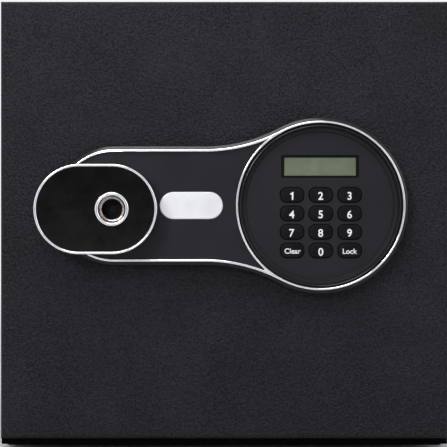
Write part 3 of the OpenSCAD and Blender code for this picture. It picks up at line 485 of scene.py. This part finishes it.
def zinc_steel():
    """Bright zinc plating: soft spangle clouds and the lines of the strip that it was cut from."""
    return brushed("zinc_steel", srgb(176, 178, 182), 0.34, (1.0, 1.0, 0.08), line=0.5 * MM)


def bolt_steel():
    return brushed("bolt_steel", srgb(206, 208, 212), 0.2, (0.06, 1.0, 1.0), line=0.25 * MM)


def bush_brass():
    return brushed("bush_brass", srgb(196, 166, 98), 0.28, (1.0, 0.1, 1.0), line=0.3 * MM)


def contact_metal():
    return brushed("contact_metal", srgb(204, 202, 192), 0.26, (1.0, 0.2, 1.0), line=0.3 * MM)


def contact_dark():
    return brushed("contact_dark", srgb(30, 30, 32), 0.4, (1.0, 1.0, 0.2), line=0.3 * MM)


def coil_tape():
    """Amber tape wound over the copper, its turns showing as fine ridges."""
    look = Look("coil_tape", srgb(172, 92, 36), 0.32, specular=0.5, coat=0.3)
    turns = look.waves(0.6 / MM, "Z", 0.4)
    look.put("Base Color", look.tint(turns, srgb(150, 74, 26), srgb(190, 108, 44)))
    look.dull(look.noise(5 * MM), 0.26, 0.4)
    look.bump(turns, 0.05 * MM)
    return look.material


def nylon_white():
    return moulding("nylon_white", srgb(224, 222, 212), 0.42, specular=0.45, marks=1.03)


def cover_plastic():
    return moulding("cover_plastic", srgb(37, 37, 39), 0.55, grain=0.7 * MM, depth=0.04 * MM)


def button_red():
    return moulding("button_red", srgb(168, 30, 26), 0.35, specular=0.5, marks=1.05)


def cell_wrap():
    """Shrink sleeve over the cells: slate blue, with slow waves where it has drawn tight."""
    look = Look("cell_wrap", srgb(52, 66, 88), 0.24, specular=0.5, coat=0.4)
    wave = look.noise(8 * MM, detail=2)
    look.stain(wave, srgb(46, 60, 82), srgb(60, 76, 100))
    look.dull(wave, 0.18, 0.32)
    look.bump(wave, 0.02 * MM)
    return look.material


def ribbon_grey():
    """Flat ribbon: the parallel cores stand out as ridges under the insulation."""
    look = Look("ribbon_grey", srgb(160, 160, 163), 0.5)
    cores = look.waves(0.25 / MM, "X")
    look.put("Base Color", look.tint(cores, srgb(138, 138, 141), srgb(170, 170, 173)))
    look.dull(look.noise(6 * MM), 0.42, 0.56)
    look.bump(cores, 0.15 * MM)
    return look.material


def carpet():
    """Needle felt: short crossed fibres, mottled, with hardly any shine."""
    look = Look("carpet", srgb(52, 52, 56), 0.92, specular=0.1)
    fibres = look.noise(0.7 * MM, detail=4, rough=0.7)
    tufts = look.noise(3.5 * MM, detail=3)
    mix = look.weigh(fibres, 0.65, tufts, 0.35)
    look.stain(mix, srgb(34, 34, 38), srgb(74, 74, 79))
    look.put("Sheen Weight", 0.2)
    look.bump(mix, 0.7 * MM)
    return look.material


MAKERS = (
    door_paint, body_paint, housing_plastic, bezel_plastic, face_plastic, key_rubber, chrome_trim,
    insert_gloss, socket_plastic, plate_silver, lcd_glass, lcd_metal, board_green, mat_rubber,
    zinc_steel, bolt_steel, bush_brass, contact_metal, contact_dark, coil_tape, nylon_white, cover_plastic,
    button_red, cell_wrap, ribbon_grey, carpet, funnel_metal, rim_gloss, white_print, shadow_lip_black,
)
looks = {maker.__name__: maker() for maker in MAKERS}


def dress(piece, look):
    """Gives a piece one of the looks. Those of the CAD nodes are named like the record's material slots."""
    piece.data.materials.clear()
    piece.data.materials.append(looks[look])


for subpart in frame["record"]["subparts"]:
    dress(frame["nodes"][subpart["node"]], subpart["material_slot"])


# ---------------------------------------------------------------- shapes

SHARP_EDGE = math.radians(32)  # edges that turn by more than this stay sharp
CORNER_STEPS = 10
EDGE_STEPS = 6
CROWN_STEPS = 7
ROUND_STEPS = 12
LATHE_STEPS = 192
LEAST_RADIUS = 0.05 * MM

door_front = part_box("door_panel")[0][1]


def box(node):
    """Lowest and highest corner of a CAD node, as vectors."""
    low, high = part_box(node)
    return Vector(low), Vector(high)


def at(x, z, height):
    """A place over the door: across, up, and how far it stands out of the door's front face."""
    return Vector((x, door_front - height, z))


def height_of(y):
    return door_front - y


def add_piece(name, corners, faces, slot, body, replaced=(), look=None):
    """A mesh piece that rides on a body, smooth but for its sharp edges. It may have a look of its own."""
    mesh = bpy.data.meshes.new(name)
    mesh.from_pydata(corners, [], faces)
    work = bmesh.new()
    work.from_mesh(mesh)
    bmesh.ops.recalc_face_normals(work, faces=work.faces)
    work.to_mesh(mesh)
    work.free()
    mesh.shade_smooth()
    mesh.set_sharp_from_angle(angle=SHARP_EDGE)
    piece = add_object(name, mesh)
    dress(piece, look or slot)
    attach(piece, body)
    if replaced:
        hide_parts(*replaced)
    return piece


def skin(rows, closed_ends=False):
    """Corners and faces over closed rows of points. The last row joins the first, or both ends are capped."""
    count = len(rows[0])
    corners = [point for row in rows for point in row]
    faces = []
    for i in range(len(rows) if closed_ends else len(rows) - 1):
        j = (i + 1) % len(rows)
        for k in range(count):
            m = (k + 1) % count
            faces.append((i * count + k, i * count + m, j * count + m, j * count + k))
    if not closed_ends:
        faces.append(tuple(range(count)))
        faces.append(tuple((len(rows) - 1) * count + k for k in range(count)))
    return corners, faces


def rounded_loop(width, height, radius):
    """Points (across, up) round a rectangle with round corners, about its middle."""
    radius = min(radius, width / 2, height / 2)
    points = []
    for corner, (sx, sz) in enumerate(((1, 1), (-1, 1), (-1, -1), (1, -1))):
        for i in range(CORNER_STEPS + 1):
            angle = math.radians(90 * (corner + i / CORNER_STEPS))
            points.append((
                sx * (width / 2 - radius) + radius * math.cos(angle),
                sz * (height / 2 - radius) + radius * math.sin(angle),
            ))
    return points


def pillow(name, node, radius, edge, crown, slot, body, sides):
    """A key or badge: sides, a rounded edge and a slightly crowned top. It stands for its CAD node.
    The sides are steps of (inset from the node's box, height over its back)."""
    low, high = box(node)
    middle = (low + high) / 2
    width, tall = high.x - low.x, high.z - low.z
    base, top = height_of(high.y), height_of(low.y)
    steps = [(inset, base + rise) for inset, rise in sides]
    start = sides[-1][0]
    for i in range(EDGE_STEPS + 1):
        angle = math.radians(90 * i / EDGE_STEPS)
        steps.append((start + edge * (1 - math.cos(angle)), top - crown - edge * (1 - math.sin(angle))))
    reach = tall / 2 - start - edge
    for i in range(1, CROWN_STEPS):
        share = i / CROWN_STEPS
        steps.append((start + edge + reach * share, top - crown * (1 - share) ** 2))
    rows = []
    for inset, height in steps:
        loop = rounded_loop(width - 2 * inset, tall - 2 * inset, max(radius - inset, LEAST_RADIUS))
        rows.append([at(middle.x + x, middle.z + z, height) for x, z in loop])
    return add_piece(name, *skin(rows), slot, body, [node])


def sweep(name, path, profile, slot, body, closed=False, replaced=(), look=None):
    """Draws a closed profile of (outwards, height) along a path of (x, z, outward x, outward z)."""
    rows = [[at(x + nx * out, z + nz * out, height) for out, height in profile] for x, z, nx, nz in path]
    return add_piece(name, *skin(rows, closed_ends=closed), slot, body, replaced, look)


def circle_path(centre, radius, count, start=0.0, turn=360.0, outward=1):
    """Path along an arc, in degrees from the +x side towards up. A full circle's last point is left out."""
    points = count if abs(turn) >= 360 else count + 1
    path = []
    for i in range(points):
        angle = math.radians(start + turn * i / count)
        nx, nz = math.cos(angle), math.sin(angle)
        path.append((centre[0] + radius * nx, centre[1] + radius * nz, outward * nx, outward * nz))
    return path


def lathe(name, centre, profile, slot, body, replaced=(), look=None):
    """Turns a closed profile of (radius, height) round an axis that stands out of the door."""
    return sweep(name, circle_path(centre, 0.0, LATHE_STEPS), profile, slot, body, True, replaced, look)


def bead_profile(width, base, crest, roundness):
    """Section of a chrome bead: upright sides under a crest that is round across its whole width."""
    rise = width / 2 * roundness
    profile = [(-width / 2, base)]
    for i in range(ROUND_STEPS + 1):
        angle = math.radians(180 - 180 / ROUND_STEPS * i)
        profile.append((width / 2 * math.cos(angle), crest - rise + rise * math.sin(angle)))
    profile.append((width / 2, base))
    return profile


# ---------------------------------------------------------------- chrome beads

TRIM_WIDTH = 1.6 * MM
ARM_HALF = 33.9 * MM
FILLET_RADIUS = 100 * MM
CREST_ROUNDNESS = 0.8
RING_WIDTH = 1.3 * MM
RING_STEPS = 256
FILLET_STEPS = 48
END_STEPS = 96

ring_low, ring_high = box("keypad_ring")
ring_middle = ((ring_low.x + ring_high.x) / 2, (ring_low.z + ring_high.z) / 2)
ring_radius = (ring_high.x - ring_low.x - TRIM_WIDTH) / 2
crest = height_of(ring_low.y)
ring_seat = height_of(ring_high.y)
ring_bead = sweep(
    "ring_bead", circle_path(ring_middle, ring_radius, RING_STEPS),
    bead_profile(RING_WIDTH, ring_seat, crest, CREST_ROUNDNESS),
    "chrome_trim", "door", True, ["keypad_ring"],
)

trim_low, trim_high = box("outline_trim")
arm_end = (trim_low.x + TRIM_WIDTH / 2 + ARM_HALF, ring_middle[1])
fillet_rise = ARM_HALF + FILLET_RADIUS
fillet_x = ring_middle[0] - math.sqrt((ring_radius + FILLET_RADIUS) ** 2 - fillet_rise ** 2)
fillet_turn = math.degrees(math.atan2(ring_middle[0] - fillet_x, fillet_rise))


def arm_path():
    """The arm's outline from the ring's upper side round the arm's end and back to the ring's lower side."""
    upper = (fillet_x, ring_middle[1] + fillet_rise)
    lower = (fillet_x, ring_middle[1] - fillet_rise)
    path = circle_path(upper, FILLET_RADIUS, FILLET_STEPS, 270 + fillet_turn, -fillet_turn, outward=-1)
    path += circle_path(arm_end, ARM_HALF, END_STEPS, 90, 180)
    path += circle_path(lower, FILLET_RADIUS, FILLET_STEPS, 90, -fillet_turn, outward=-1)
    return path


sweep(
    "trim_bead", arm_path(),
    bead_profile(TRIM_WIDTH, height_of(trim_high.y), crest, CREST_ROUNDNESS),
    "chrome_trim", "door", False, ["outline_trim"],
)

WEB_LENGTH = 12.4 * MM
WEB_DROP = 0.18 * MM  # how far a web lies below the beads' crests
WEB_STEPS = 12


def on_circle(centre, radius, angle):
    return centre[0] + radius * math.cos(angle), centre[1] + radius * math.sin(angle)


def make_web(name, side):
    """The chrome web that fills the sharp corner where the arm's bead runs into the ring."""
    centre = (fillet_x, ring_middle[1] + side * fillet_rise)
    lean = math.atan2(centre[1] - ring_middle[1], centre[0] - ring_middle[0])
    base, top = height_of(trim_high.y), crest - WEB_DROP
    rows = []
    for i in range(WEB_STEPS + 1):
        along = WEB_LENGTH * i / WEB_STEPS
        on_ring = lean + side * along / ring_radius
        on_arm = lean + math.pi - side * along / FILLET_RADIUS
        near = on_circle(ring_middle, ring_radius, on_ring)
        far = on_circle(centre, FILLET_RADIUS, on_arm)
        rows.append([at(*near, base), at(*near, top), at(*far, top), at(*far, base)])
    add_piece(name, *skin(rows), "chrome_trim", "door")


make_web("junction_web_upper", 1)
make_web("junction_web_lower", -1)

# Gloss shoulder outside the beads, all the way round the arm and the ring, over the housing's skirt
SKIRT_SPREAD = 2.6 * MM
SKIRT_THICK = 1.2 * MM
SKIRT_LIFT = 0.02 * MM
SKIRT_NECK = 0.3 * MM  # how far the shoulder reaches in under the beads
SKIRT_BROW = 0.6 * MM  # how far the shoulder's outer edge stands inside the foot
SHOULDER_LEAN = math.radians(28)
SHOULDER_DEPTH = 0.6 * MM
SHOULDER_EDGE = ((0.06, -0.3), (0.0, -0.08), (-0.2, 0.1))  # its rounding, in mm out and up from the brow
OUTLINE_STEPS = 160


def make_skirt():
    """Sides that stand on the door, a rounded edge, and a shoulder that leans up to the beads."""
    junction = math.degrees(math.atan2(fillet_rise, fillet_x - ring_middle[0]))
    outline = arm_path() + circle_path(ring_middle, ring_radius, OUTLINE_STEPS, -junction, 2 * junction)[1:-1]
    foot = TRIM_WIDTH / 2 + SKIRT_SPREAD
    neck = TRIM_WIDTH / 2 - SKIRT_NECK
    brow = foot - SKIRT_BROW
    edge = ring_seat - (brow - neck) * math.tan(SHOULDER_LEAN)
    profile = [(foot - SKIRT_THICK, SKIRT_LIFT), (foot, SKIRT_LIFT)]
    profile += [(brow + out * MM, edge + up * MM) for out, up in SHOULDER_EDGE]
    profile += [(neck, ring_seat), (neck, ring_seat - SHOULDER_DEPTH)]
    sweep("housing_skirt", outline, profile, "housing_plastic", "door", True, look="rim_gloss")


make_skirt()

# Bezel between ring and face: a near-level band, a slope, and a gloss ridge beside the dark groove
GROOVE = 0.96 * MM
GROOVE_FLOOR = 1 * MM  # depth of the groove below the ring's seat
BEZEL_LEDGE = 1.1 * MM  # how far the bezel reaches in under the key face
BEZEL_SINK = 2.2 * MM
BAND_IN = 0.25 * MM  # the band's edges, out from the key face's own
BAND_OUT = 2.1 * MM
BAND_OUTER_EDGE = ((0.2, 0.75), (0.0, 0.5), (-0.25, 0.4))  # mm out from the band's edge, and over the face
BAND_INNER_EDGE = ((0.3, 0.4), (0.0, 0.2))
RIDGE_HALF = 0.5 * MM
RIDGE_DROP = 1.6 * MM  # depth of the ridge's foot below the ring's crest

# The ridge's section, as (share of its half width outwards, mm over its foot)
RIDGE_SECTION = ((1.0, -0.3), (1.0, 0.03), (0.8, 0.12), (-0.4, 0.45), (-0.7, 0.45), (-0.7, -0.3))

face_low, face_high = box("keypad_face")
face_top = height_of(face_low.y)
bezel_low, bezel_high = box("keypad_bezel")
bezel_radius = (bezel_high.x - bezel_low.x) / 2
ridge_at = bezel_radius - GROOVE - RIDGE_HALF
ridge_foot = crest - RIDGE_DROP


def make_bezel():
    """The bezel's section, from the ledge under the key face out to the groove and back in."""
    back = height_of(bezel_high.y)
    groove_in = bezel_radius - GROOVE
    groove_floor = ring_seat - GROOVE_FLOOR
    face_radius = (face_high.x - face_low.x) / 2
    ledge = face_radius - BEZEL_LEDGE
    band_in = face_radius + BAND_IN
    band_out = face_radius + BAND_OUT
    profile = [
        (ledge, back), (bezel_radius, back), (bezel_radius, groove_floor), (groove_in, groove_floor),
        (groove_in, ridge_foot), (ridge_at - RIDGE_HALF, ridge_foot),
    ]
    profile += [(band_out + out * MM, face_top + up * MM) for out, up in BAND_OUTER_EDGE]
    profile += [(band_in + out * MM, face_top + up * MM) for out, up in BAND_INNER_EDGE]
    profile += [(band_in, face_top - BEZEL_SINK), (ledge, face_top - BEZEL_SINK)]
    lathe("bezel_ring", ring_middle, profile, "bezel_plastic", "door", ["keypad_bezel"])


make_bezel()
lathe(
    "bezel_ridge", ring_middle,
    [(ridge_at + share * RIDGE_HALF, ridge_foot + up * MM) for share, up in RIDGE_SECTION],
    "bezel_plastic", "door", look="rim_gloss",
)


# ---------------------------------------------------------------- keypad, badge, port and shadow lip

KEY_RADIUS = 4.7 * MM
KEY_EDGE = 0.5 * MM
KEY_CROWN = 0.2 * MM
KEY_FLANGE = 0.6 * MM
KEY_FLANGE_THICK = 0.5 * MM
KEY_GAP = 0.5 * MM  # dark gap round a cap, where its side steps in just below the face
KEY_GAP_DEPTH = 0.7 * MM
DIGIT_HEIGHT = 4.9 * MM
WORD_WIDTHS = {"Clear": 10.2 * MM, "Lock": 9.0 * MM}
LEGEND_BOLD = 0.018
LEGEND_CURVE_STEPS = 6
LEGEND_RISE = 0.04 * MM
LEGEND_SINK = 0.06 * MM
LEGEND_SLICE = 0.7 * MM  # legends are cut into squares of this size, to follow the crown
SAME_CORNER = 1e-5  # corners of a letter that lie closer than this are one
CLEAR_OF_DOOR = 50 * MM  # this far before the door is in front of all keys
LEGENDS = {
    "key_1": "1", "key_2": "2", "key_3": "3", "key_4": "4", "key_5": "5", "key_6": "6",
    "key_7": "7", "key_8": "8", "key_9": "9", "key_clear": "Clear", "key_0": "0", "key_lock": "Lock",
}

# Outline of the digit 1, for a digit 1 high
GLYPH_ONE = (
    (0.24, 0), (0.44, 0), (0.44, 1), (0.29, 1), (0.25, 0.91),
    (0.16, 0.84), (0.03, 0.8), (0.03, 0.66), (0.24, 0.66),
)

key_waist = face_top - KEY_GAP_DEPTH - height_of(box("key_5")[1].y)
key_sides = (
    (0.0, 0.0), (0.0, KEY_FLANGE_THICK), (KEY_FLANGE, KEY_FLANGE_THICK), (KEY_FLANGE, key_waist),
    (KEY_FLANGE + KEY_GAP, key_waist),
)
keys = {
    node: pillow(
        node + "_cap", node, KEY_RADIUS, KEY_EDGE, KEY_CROWN, "key_rubber", "body_" + node, key_sides,
    )
    for node in LEGENDS
}


def legend_point(node):
    """Image point of a key's legend. The digits 1 to 9 stand on a grid between two named points."""
    first, last = IMAGE_POINTS["legend_1"], IMAGE_POINTS["legend_9"]
    named = "legend_" + node.split("_")[1]
    if named in IMAGE_POINTS:
        return IMAGE_POINTS[named]
    row, column = divmod(int(LEGENDS[node]) - 1, 3)
    return tuple(first[i] + (last[i] - first[i]) * (column, row)[i] / 2 for i in (0, 1))


def flat_letters(words):
    """The words as a flat mesh. The font's 1 is a bare stroke, so the 1 with its flag is drawn here."""
    if words == "1":
        flat = bpy.data.meshes.new("glyph")
        flat.from_pydata([(x, y, 0) for x, y in GLYPH_ONE], [], [tuple(range(len(GLYPH_ONE)))])
        return flat
    curve = bpy.data.curves.new("glyph", "FONT")
    curve.body = words
    curve.size = 1.0
    curve.offset = LEGEND_BOLD
    curve.resolution_u = LEGEND_CURVE_STEPS
    writing = add_object("glyph", curve)
    flat = bpy.data.meshes.new_from_object(writing.evaluated_get(bpy.context.evaluated_depsgraph_get()))
    bpy.data.objects.remove(writing)
    return flat


def extent(values):
    return max(values) - min(values)


def print_legend(node, cap):
    """White print on a key cap, laid onto the crown of the cap."""
    words = LEGENDS[node]
    flat = flat_letters(words)
    across = [v.co.x for v in flat.vertices]
    up = [v.co.y for v in flat.vertices]
    if words in WORD_WIDTHS:
        scale = WORD_WIDTHS[words] / extent(across)
    else:
        scale = DIGIT_HEIGHT / extent(up)
    middle = ((max(across) + min(across)) / 2, (max(up) + min(up)) / 2)
    place, _ = on_surface(legend_point(node), cap)
    tree = BVHTree.FromPolygons(
        [v.co for v in cap.data.vertices], [list(p.vertices) for p in cap.data.polygons]
    )
    work = bmesh.new()
    work.from_mesh(flat)
    bmesh.ops.remove_doubles(work, verts=work.verts, dist=SAME_CORNER)
    for way, values in ((Vector((1, 0, 0)), across), (Vector((0, 1, 0)), up)):
        slices = math.ceil(extent(values) * scale / LEGEND_SLICE)
        for i in range(1, slices):
            spot = way * (min(values) + extent(values) * i / slices)
            everything = work.verts[:] + work.edges[:] + work.faces[:]
            bmesh.ops.bisect_plane(work, geom=everything, plane_co=spot, plane_no=way)
    raised = bmesh.ops.extrude_face_region(work, geom=list(work.faces))["geom"]
    front = {part for part in raised if isinstance(part, bmesh.types.BMVert)}
    for corner in work.verts:
        x = place.x + (corner.co.x - middle[0]) * scale
        z = place.z + (corner.co.y - middle[1]) * scale
        hit = tree.ray_cast(Vector((x, door_front - CLEAR_OF_DOOR, z)), Vector((0, 1, 0)))[0]
        surface = hit.y if hit else place.y
        corner.co = Vector((x, surface - (LEGEND_RISE if corner in front else -LEGEND_SINK), z))
    bmesh.ops.recalc_face_normals(work, faces=work.faces)
    mesh = bpy.data.meshes.new(node + "_legend")
    work.to_mesh(mesh)
    work.free()
    bpy.data.meshes.remove(flat)
    legend = add_object(node + "_legend", mesh)
    dress(legend, "white_print")
    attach(legend, "body_" + node)
    return legend


legends = {node: print_legend(node, cap) for node, cap in keys.items()}

PLATE_RADIUS = 8.45 * MM
PLATE_EDGE = 0.45 * MM
PLATE_CROWN = 0.3 * MM
PLATE_GAP = 0.22 * MM
PLATE_GAP_DEPTH = 0.4 * MM  # the dark gap round the plate starts this far below the arm's face

arm_top = height_of(box("lock_housing")[0].y)
plate_waist = arm_top - height_of(box("name_plate")[1].y) - PLATE_GAP_DEPTH
plate = pillow(
    "plate_cap", "name_plate", PLATE_RADIUS, PLATE_EDGE, PLATE_CROWN, "plate_silver", "door",
    ((0.0, 0.0), (0.0, plate_waist), (PLATE_GAP, plate_waist)),
)

# Black mask printed round the display's active field
MASK_SIDE = 1.9 * MM
MASK_TOP = 1.6 * MM
MASK_FOOT = 1.3 * MM
MASK_THICK = 0.12 * MM
MASK_OUTER_RADIUS = 1.0 * MM
MASK_INNER_RADIUS = 0.3 * MM


def make_mask():
    """A thin frame on the display's glass, from its rim in to the active field."""
    low, high = box("display_lens")
    wide, tall = high.x - low.x, high.z - low.z
    middle = (low + high) / 2
    field_up = (MASK_FOOT - MASK_TOP) / 2
    outer = rounded_loop(wide, tall, MASK_OUTER_RADIUS)
    inner = rounded_loop(wide - 2 * MASK_SIDE, tall - MASK_TOP - MASK_FOOT, MASK_INNER_RADIUS)
    inner = [(x, z + field_up) for x, z in inner]
    rows = []
    for loop, lift in ((outer, 0.0), (outer, MASK_THICK), (inner, MASK_THICK), (inner, 0.0)):
        rows.append([at(middle.x + x, middle.z + z, height_of(low.y) + lift) for x, z in loop])
    add_piece("display_mask", *skin(rows, closed_ends=True), "socket_plastic", "door")


make_mask()

PORT_BAND = 1.1 * MM  # radius of the band's round section
PORT_WALL = 1 * MM
PORT_GROOVE = 4.5 * MM  # depth of the dark step between band and funnel
PORT_GROOVE_WIDTH = 0.6 * MM
PORT_GROOVE_FALL = 0.3 * MM  # how far the step's floor falls towards the wall
PORT_HOLE = 5.3 * MM
FUNNEL_RIM = 1.5 * MM  # how far the funnel's rim lies below the band's crest
FUNNEL_CHAMFER = 0.12 * MM
FUNNEL_DEPTH = 4.2 * MM
FUNNEL_STEPS = 8


def make_port():
    """The key port's chrome ring: a round band, a dark step, and a funnel down to the hole."""
    low, high = box("port_ring")
    middle = ((low.x + high.x) / 2, (low.z + high.z) / 2)
    outer = (high.x - low.x) / 2
    top, base = height_of(low.y), height_of(high.y)
    step = outer - 2 * PORT_BAND
    lip = step - PORT_GROOVE_WIDTH
    floor = top - PORT_GROOVE
    profile = [(outer, base)]
    for i in range(ROUND_STEPS + 1):
        angle = math.radians(180 / ROUND_STEPS * i)
        profile.append(
            (outer - PORT_BAND + PORT_BAND * math.cos(angle), top - PORT_BAND + PORT_BAND * math.sin(angle))
        )
    profile += [(step, floor), (step - PORT_WALL, floor - PORT_GROOVE_FALL), (step - PORT_WALL, base)]
    band = lathe("port_band", middle, profile, "chrome_trim", "knob", ["port_ring"])
    mouth = top - FUNNEL_RIM + FUNNEL_CHAMFER
    profile = [(lip, floor), (lip, top - FUNNEL_RIM), (lip - FUNNEL_CHAMFER, mouth)]
    flare = lip - FUNNEL_CHAMFER - PORT_HOLE
    for i in range(1, FUNNEL_STEPS + 1):
        angle = math.radians(90 * i / FUNNEL_STEPS)
        profile.append(
            (PORT_HOLE + flare * (1 - math.sin(angle)), mouth - FUNNEL_DEPTH * (1 - math.cos(angle)))
        )
    profile += [(PORT_HOLE, base), (lip, base)]
    # The funnel's darkened metal is painted shade for the deep funnel
    lathe("port_funnel", middle, profile, "chrome_trim", "knob", look="funnel_metal")
    return band


port_band = make_port()

# Near-black lip under the door, from corner to corner: painted shadow, a dark piece that stands in for the
# shadow gap under the door
SHADOW_LIP_CLEAR = 3.8 * MM  # gap between the lip and the level of the safe's foot
SHADOW_LIP_INSET = 0.3 * MM
SHADOW_LIP_HANG = 0.05 * MM
SHADOW_LIP_END = 0.4 * MM  # length over which each end narrows, to the share below
SHADOW_LIP_END_SHARE = 0.7
SHADOW_LIP_CORE = 4.1  # mm from the door's front back to the lip's middle

# The lip's section, as (mm behind the door's front, share of the lip's height)
SHADOW_LIP_SECTION = (
    (2.6, 1.0), (2.6, 0.3), (2.8, 0.08), (3.3, 0.0), (4.1, 0.0), (4.6, 0.08), (4.8, 0.3), (5.6, 1.0),
)


def make_shadow_lip():
    """The section drawn along the door's foot. It is a little thinner at both ends."""
    low, high = box("door_panel")
    middle, half = (low.x + high.x) / 2, (high.x - low.x) / 2 - SHADOW_LIP_INSET
    tall = low.z - SHADOW_LIP_HANG - SHADOW_LIP_CLEAR
    ends = ((-half, SHADOW_LIP_END_SHARE), (-half + SHADOW_LIP_END, 1.0), (half - SHADOW_LIP_END, 1.0), (half, SHADOW_LIP_END_SHARE))
    rows = []
    for x, share in ends:
        rows.append([
            at(middle + x, SHADOW_LIP_CLEAR + tall * up, -(SHADOW_LIP_CORE + (depth - SHADOW_LIP_CORE) * share) * MM)
            for depth, up in SHADOW_LIP_SECTION
        ])
    add_piece("door_foot_shadow_lip", *skin(rows), "socket_plastic", "door", look="shadow_lip_black")


make_shadow_lip()


# ---------------------------------------------------------------- studio

FLOOR_HALF = 6.0
FLOOR_DROP = 0.05 * MM
FLOOR_NEAR = 0.45  # the floor fades into the backdrop between these distances
FLOOR_FAR = 1.8
STUDIO_PALE = (0.86, 0.87, 0.89, 1.0)
SKY = (0.97, 0.98, 1.0, 1.0)
MIRROR_LOW = (0.16, 0.15, 0.15, 1.0)
MIRROR_FRONT = (0.12, 0.12, 0.125, 1.0)
WORLD_LOW = 0.25  # strength of the soft light from below and from above
WORLD_HIGH = 0.52
SAFE_MIDDLE = Vector((0.0, 0.0, 0.14))

# The lamps, as name, place, size across and power
LAMPS = (
    ("key_light", (-0.15, -0.66, 1.02), 0.65, 5.3),
    ("side_light", (-0.53, -1.14, 0.61), 0.3, 3.9),
    ("fill_light", (1.6, -0.9, 0.7), 1.4, 5),
    ("back_light", (0.6, 1.8, 1.4), 1.4, 12),
)


def seen_or_mirrored(nodes):
    """1 for rays that come straight from the camera, off a mirror or through glass."""
    rays = nodes.node("ShaderNodeLightPath")
    mirrored = nodes.calc(rays.outputs["Is Glossy Ray"], rays.outputs["Is Transmission Ray"], "MAXIMUM")
    return nodes.calc(rays.outputs["Is Camera Ray"], mirrored, "MAXIMUM")


def make_floor():
    """A plain pale floor, a hair below the safe, that runs out into the pale backdrop."""
    mesh = bpy.data.meshes.new("studio_floor")
    corners = [(x * FLOOR_HALF, y * FLOOR_HALF, 0) for x, y in ((-1, -1), (1, -1), (1, 1), (-1, 1))]
    mesh.from_pydata(corners, [], [(0, 1, 2, 3)])
    floor = add_object("studio_floor", mesh)
    floor.location.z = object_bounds()[0][2] - FLOOR_DROP
    look = Look("studio_floor", srgb(222, 223, 226), 0.8, specular=0.1)
    look.stain(look.noise(0.5, detail=2), srgb(218, 219, 222), srgb(226, 227, 229))
    away = look.node("ShaderNodeVectorMath", operation="LENGTH")
    look.feed(away.inputs[0], look.place)
    backdrop = look.node("ShaderNodeEmission")
    look.feed(backdrop.inputs["Color"], STUDIO_PALE)
    far = look.spread(away.outputs["Value"], 0, 1, FLOOR_NEAR, FLOOR_FAR)
    fade = look.mix(look.calc(far, seen_or_mirrored(look), "MULTIPLY"), look.shader, backdrop)
    look.feed(look.tree.nodes["Material Output"].inputs["Surface"], fade.outputs[0])
    mesh.materials.append(look.material)


def make_world():
    """Soft light from all round. The camera sees a pale backdrop, and so do mirrors, apart from the
    dark room in front of the safe and a darker lower right, which give black gloss and chrome their depth."""
    world = bpy.data.worlds.new("studio")
    bpy.context.scene.world = world
    world.use_nodes = True
    world.node_tree.nodes.clear()
    sky = Nodes(world.node_tree)
    aim = sky.node("ShaderNodeTexCoord").outputs["Generated"]

    def facing(way, low, high, start, stop):
        """A value that runs from low to high as a direction turns to face one way."""
        dot = sky.node("ShaderNodeVectorMath", operation="DOT_PRODUCT")
        sky.feed(dot.inputs[0], aim)
        dot.inputs[1].default_value = Vector(way).normalized()
        return sky.spread(dot.outputs["Value"], low, high, start, stop)

    def background(color):
        made = sky.node("ShaderNodeBackground")
        sky.feed(made.inputs["Color"], color)
        return made

    soft = background(SKY)
    sky.feed(soft.inputs["Strength"], facing((0, 0, 1), WORLD_LOW, WORLD_HIGH, -0.4, 0.9))
    side = sky.tint(facing((-0.45, 0, 0.9), 0, 1, -0.75, 0.45), MIRROR_LOW, SKY)
    mirrored = background(sky.tint(facing((0, -1, 0), 0, 1, 0.88, 0.97), side, MIRROR_FRONT))
    rays = sky.node("ShaderNodeLightPath")
    shine = sky.mix(seen_or_mirrored(sky), soft, mirrored)
    seen = sky.mix(rays.outputs["Is Camera Ray"], shine, background(STUDIO_PALE))
    sky.feed(sky.node("ShaderNodeOutputWorld").inputs["Surface"], seen.outputs[0])


def make_lamp(name, place, size, power):
    """A soft round lamp that shines on the middle of the safe."""
    data = bpy.data.lights.new(name, "AREA")
    data.shape = "DISK"
    data.size = size
    data.energy = power
    lamp = add_object(name, data)
    lamp.location = place
    lamp.rotation_euler = (SAFE_MIDDLE - lamp.location).to_track_quat("-Z", "Y").to_euler()


make_floor()
make_world()
for lamp in LAMPS:
    make_lamp(*lamp)

bpy.context.scene.view_settings.view_transform = "Standard"


# ---------------------------------------------------------------- measures

SIGHT_SLACK = 0.4 * MM  # a corner counts as seen if the camera's ray ends this close before it
IMAGE_MARGIN = 1  # pixels past the image's edge that still count


def seen_points(piece, graph):
    """Image points of a piece's finished vertices that the camera sees."""
    shape = piece.evaluated_get(graph)
    found = []
    for corner in shape.data.vertices:
        place = shape.matrix_world @ corner.co
        gap = place - CAMERA_PLACE
        hit, where, *_ = bpy.context.scene.ray_cast(graph, CAMERA_PLACE, gap.normalized())
        if not hit or (where - CAMERA_PLACE).length > gap.length - SIGHT_SLACK:
            x, y = image_point(place)
            if (-IMAGE_MARGIN <= x <= IMAGE_WIDTH + IMAGE_MARGIN
                    and -IMAGE_MARGIN <= y <= IMAGE_HEIGHT + IMAGE_MARGIN):
                found.append((x, y))
    return found


def measure_points():
    """For each named edge, how far out the seen corners of its thing reach in the image."""
    graph = bpy.context.evaluated_depsgraph_get()
    nodes = frame["nodes"]
    carriers = {
        "safe": (nodes["door_panel"], nodes["body_shell"], nodes["front_frame"]), "ring": (ring_bead,),
        "knob": (nodes["knob_body"],), "port": (port_band,), "plate": (plate,),
        "display": (nodes["display_lens"],), "legend_1": (legends["key_1"],), "legend_9": (legends["key_9"],),
        "legend_0": (legends["key_0"],), "legend_clear": (legends["key_clear"],),
        "legend_lock": (legends["key_lock"],),
    }
    edges = {"left": (0, min), "right": (0, max), "top": (1, min), "bottom": (1, max)}
    seen = {
        name: [point for piece in pieces for point in seen_points(piece, graph)]
        for name, pieces in carriers.items()
    }
    for name, target in IMAGE_POINTS.items():
        thing, _, side = name.rpartition("_")
        if side in edges:
            axis, pick = edges[side]
            shown = pick(point[axis] for point in seen[thing])


measure_points()
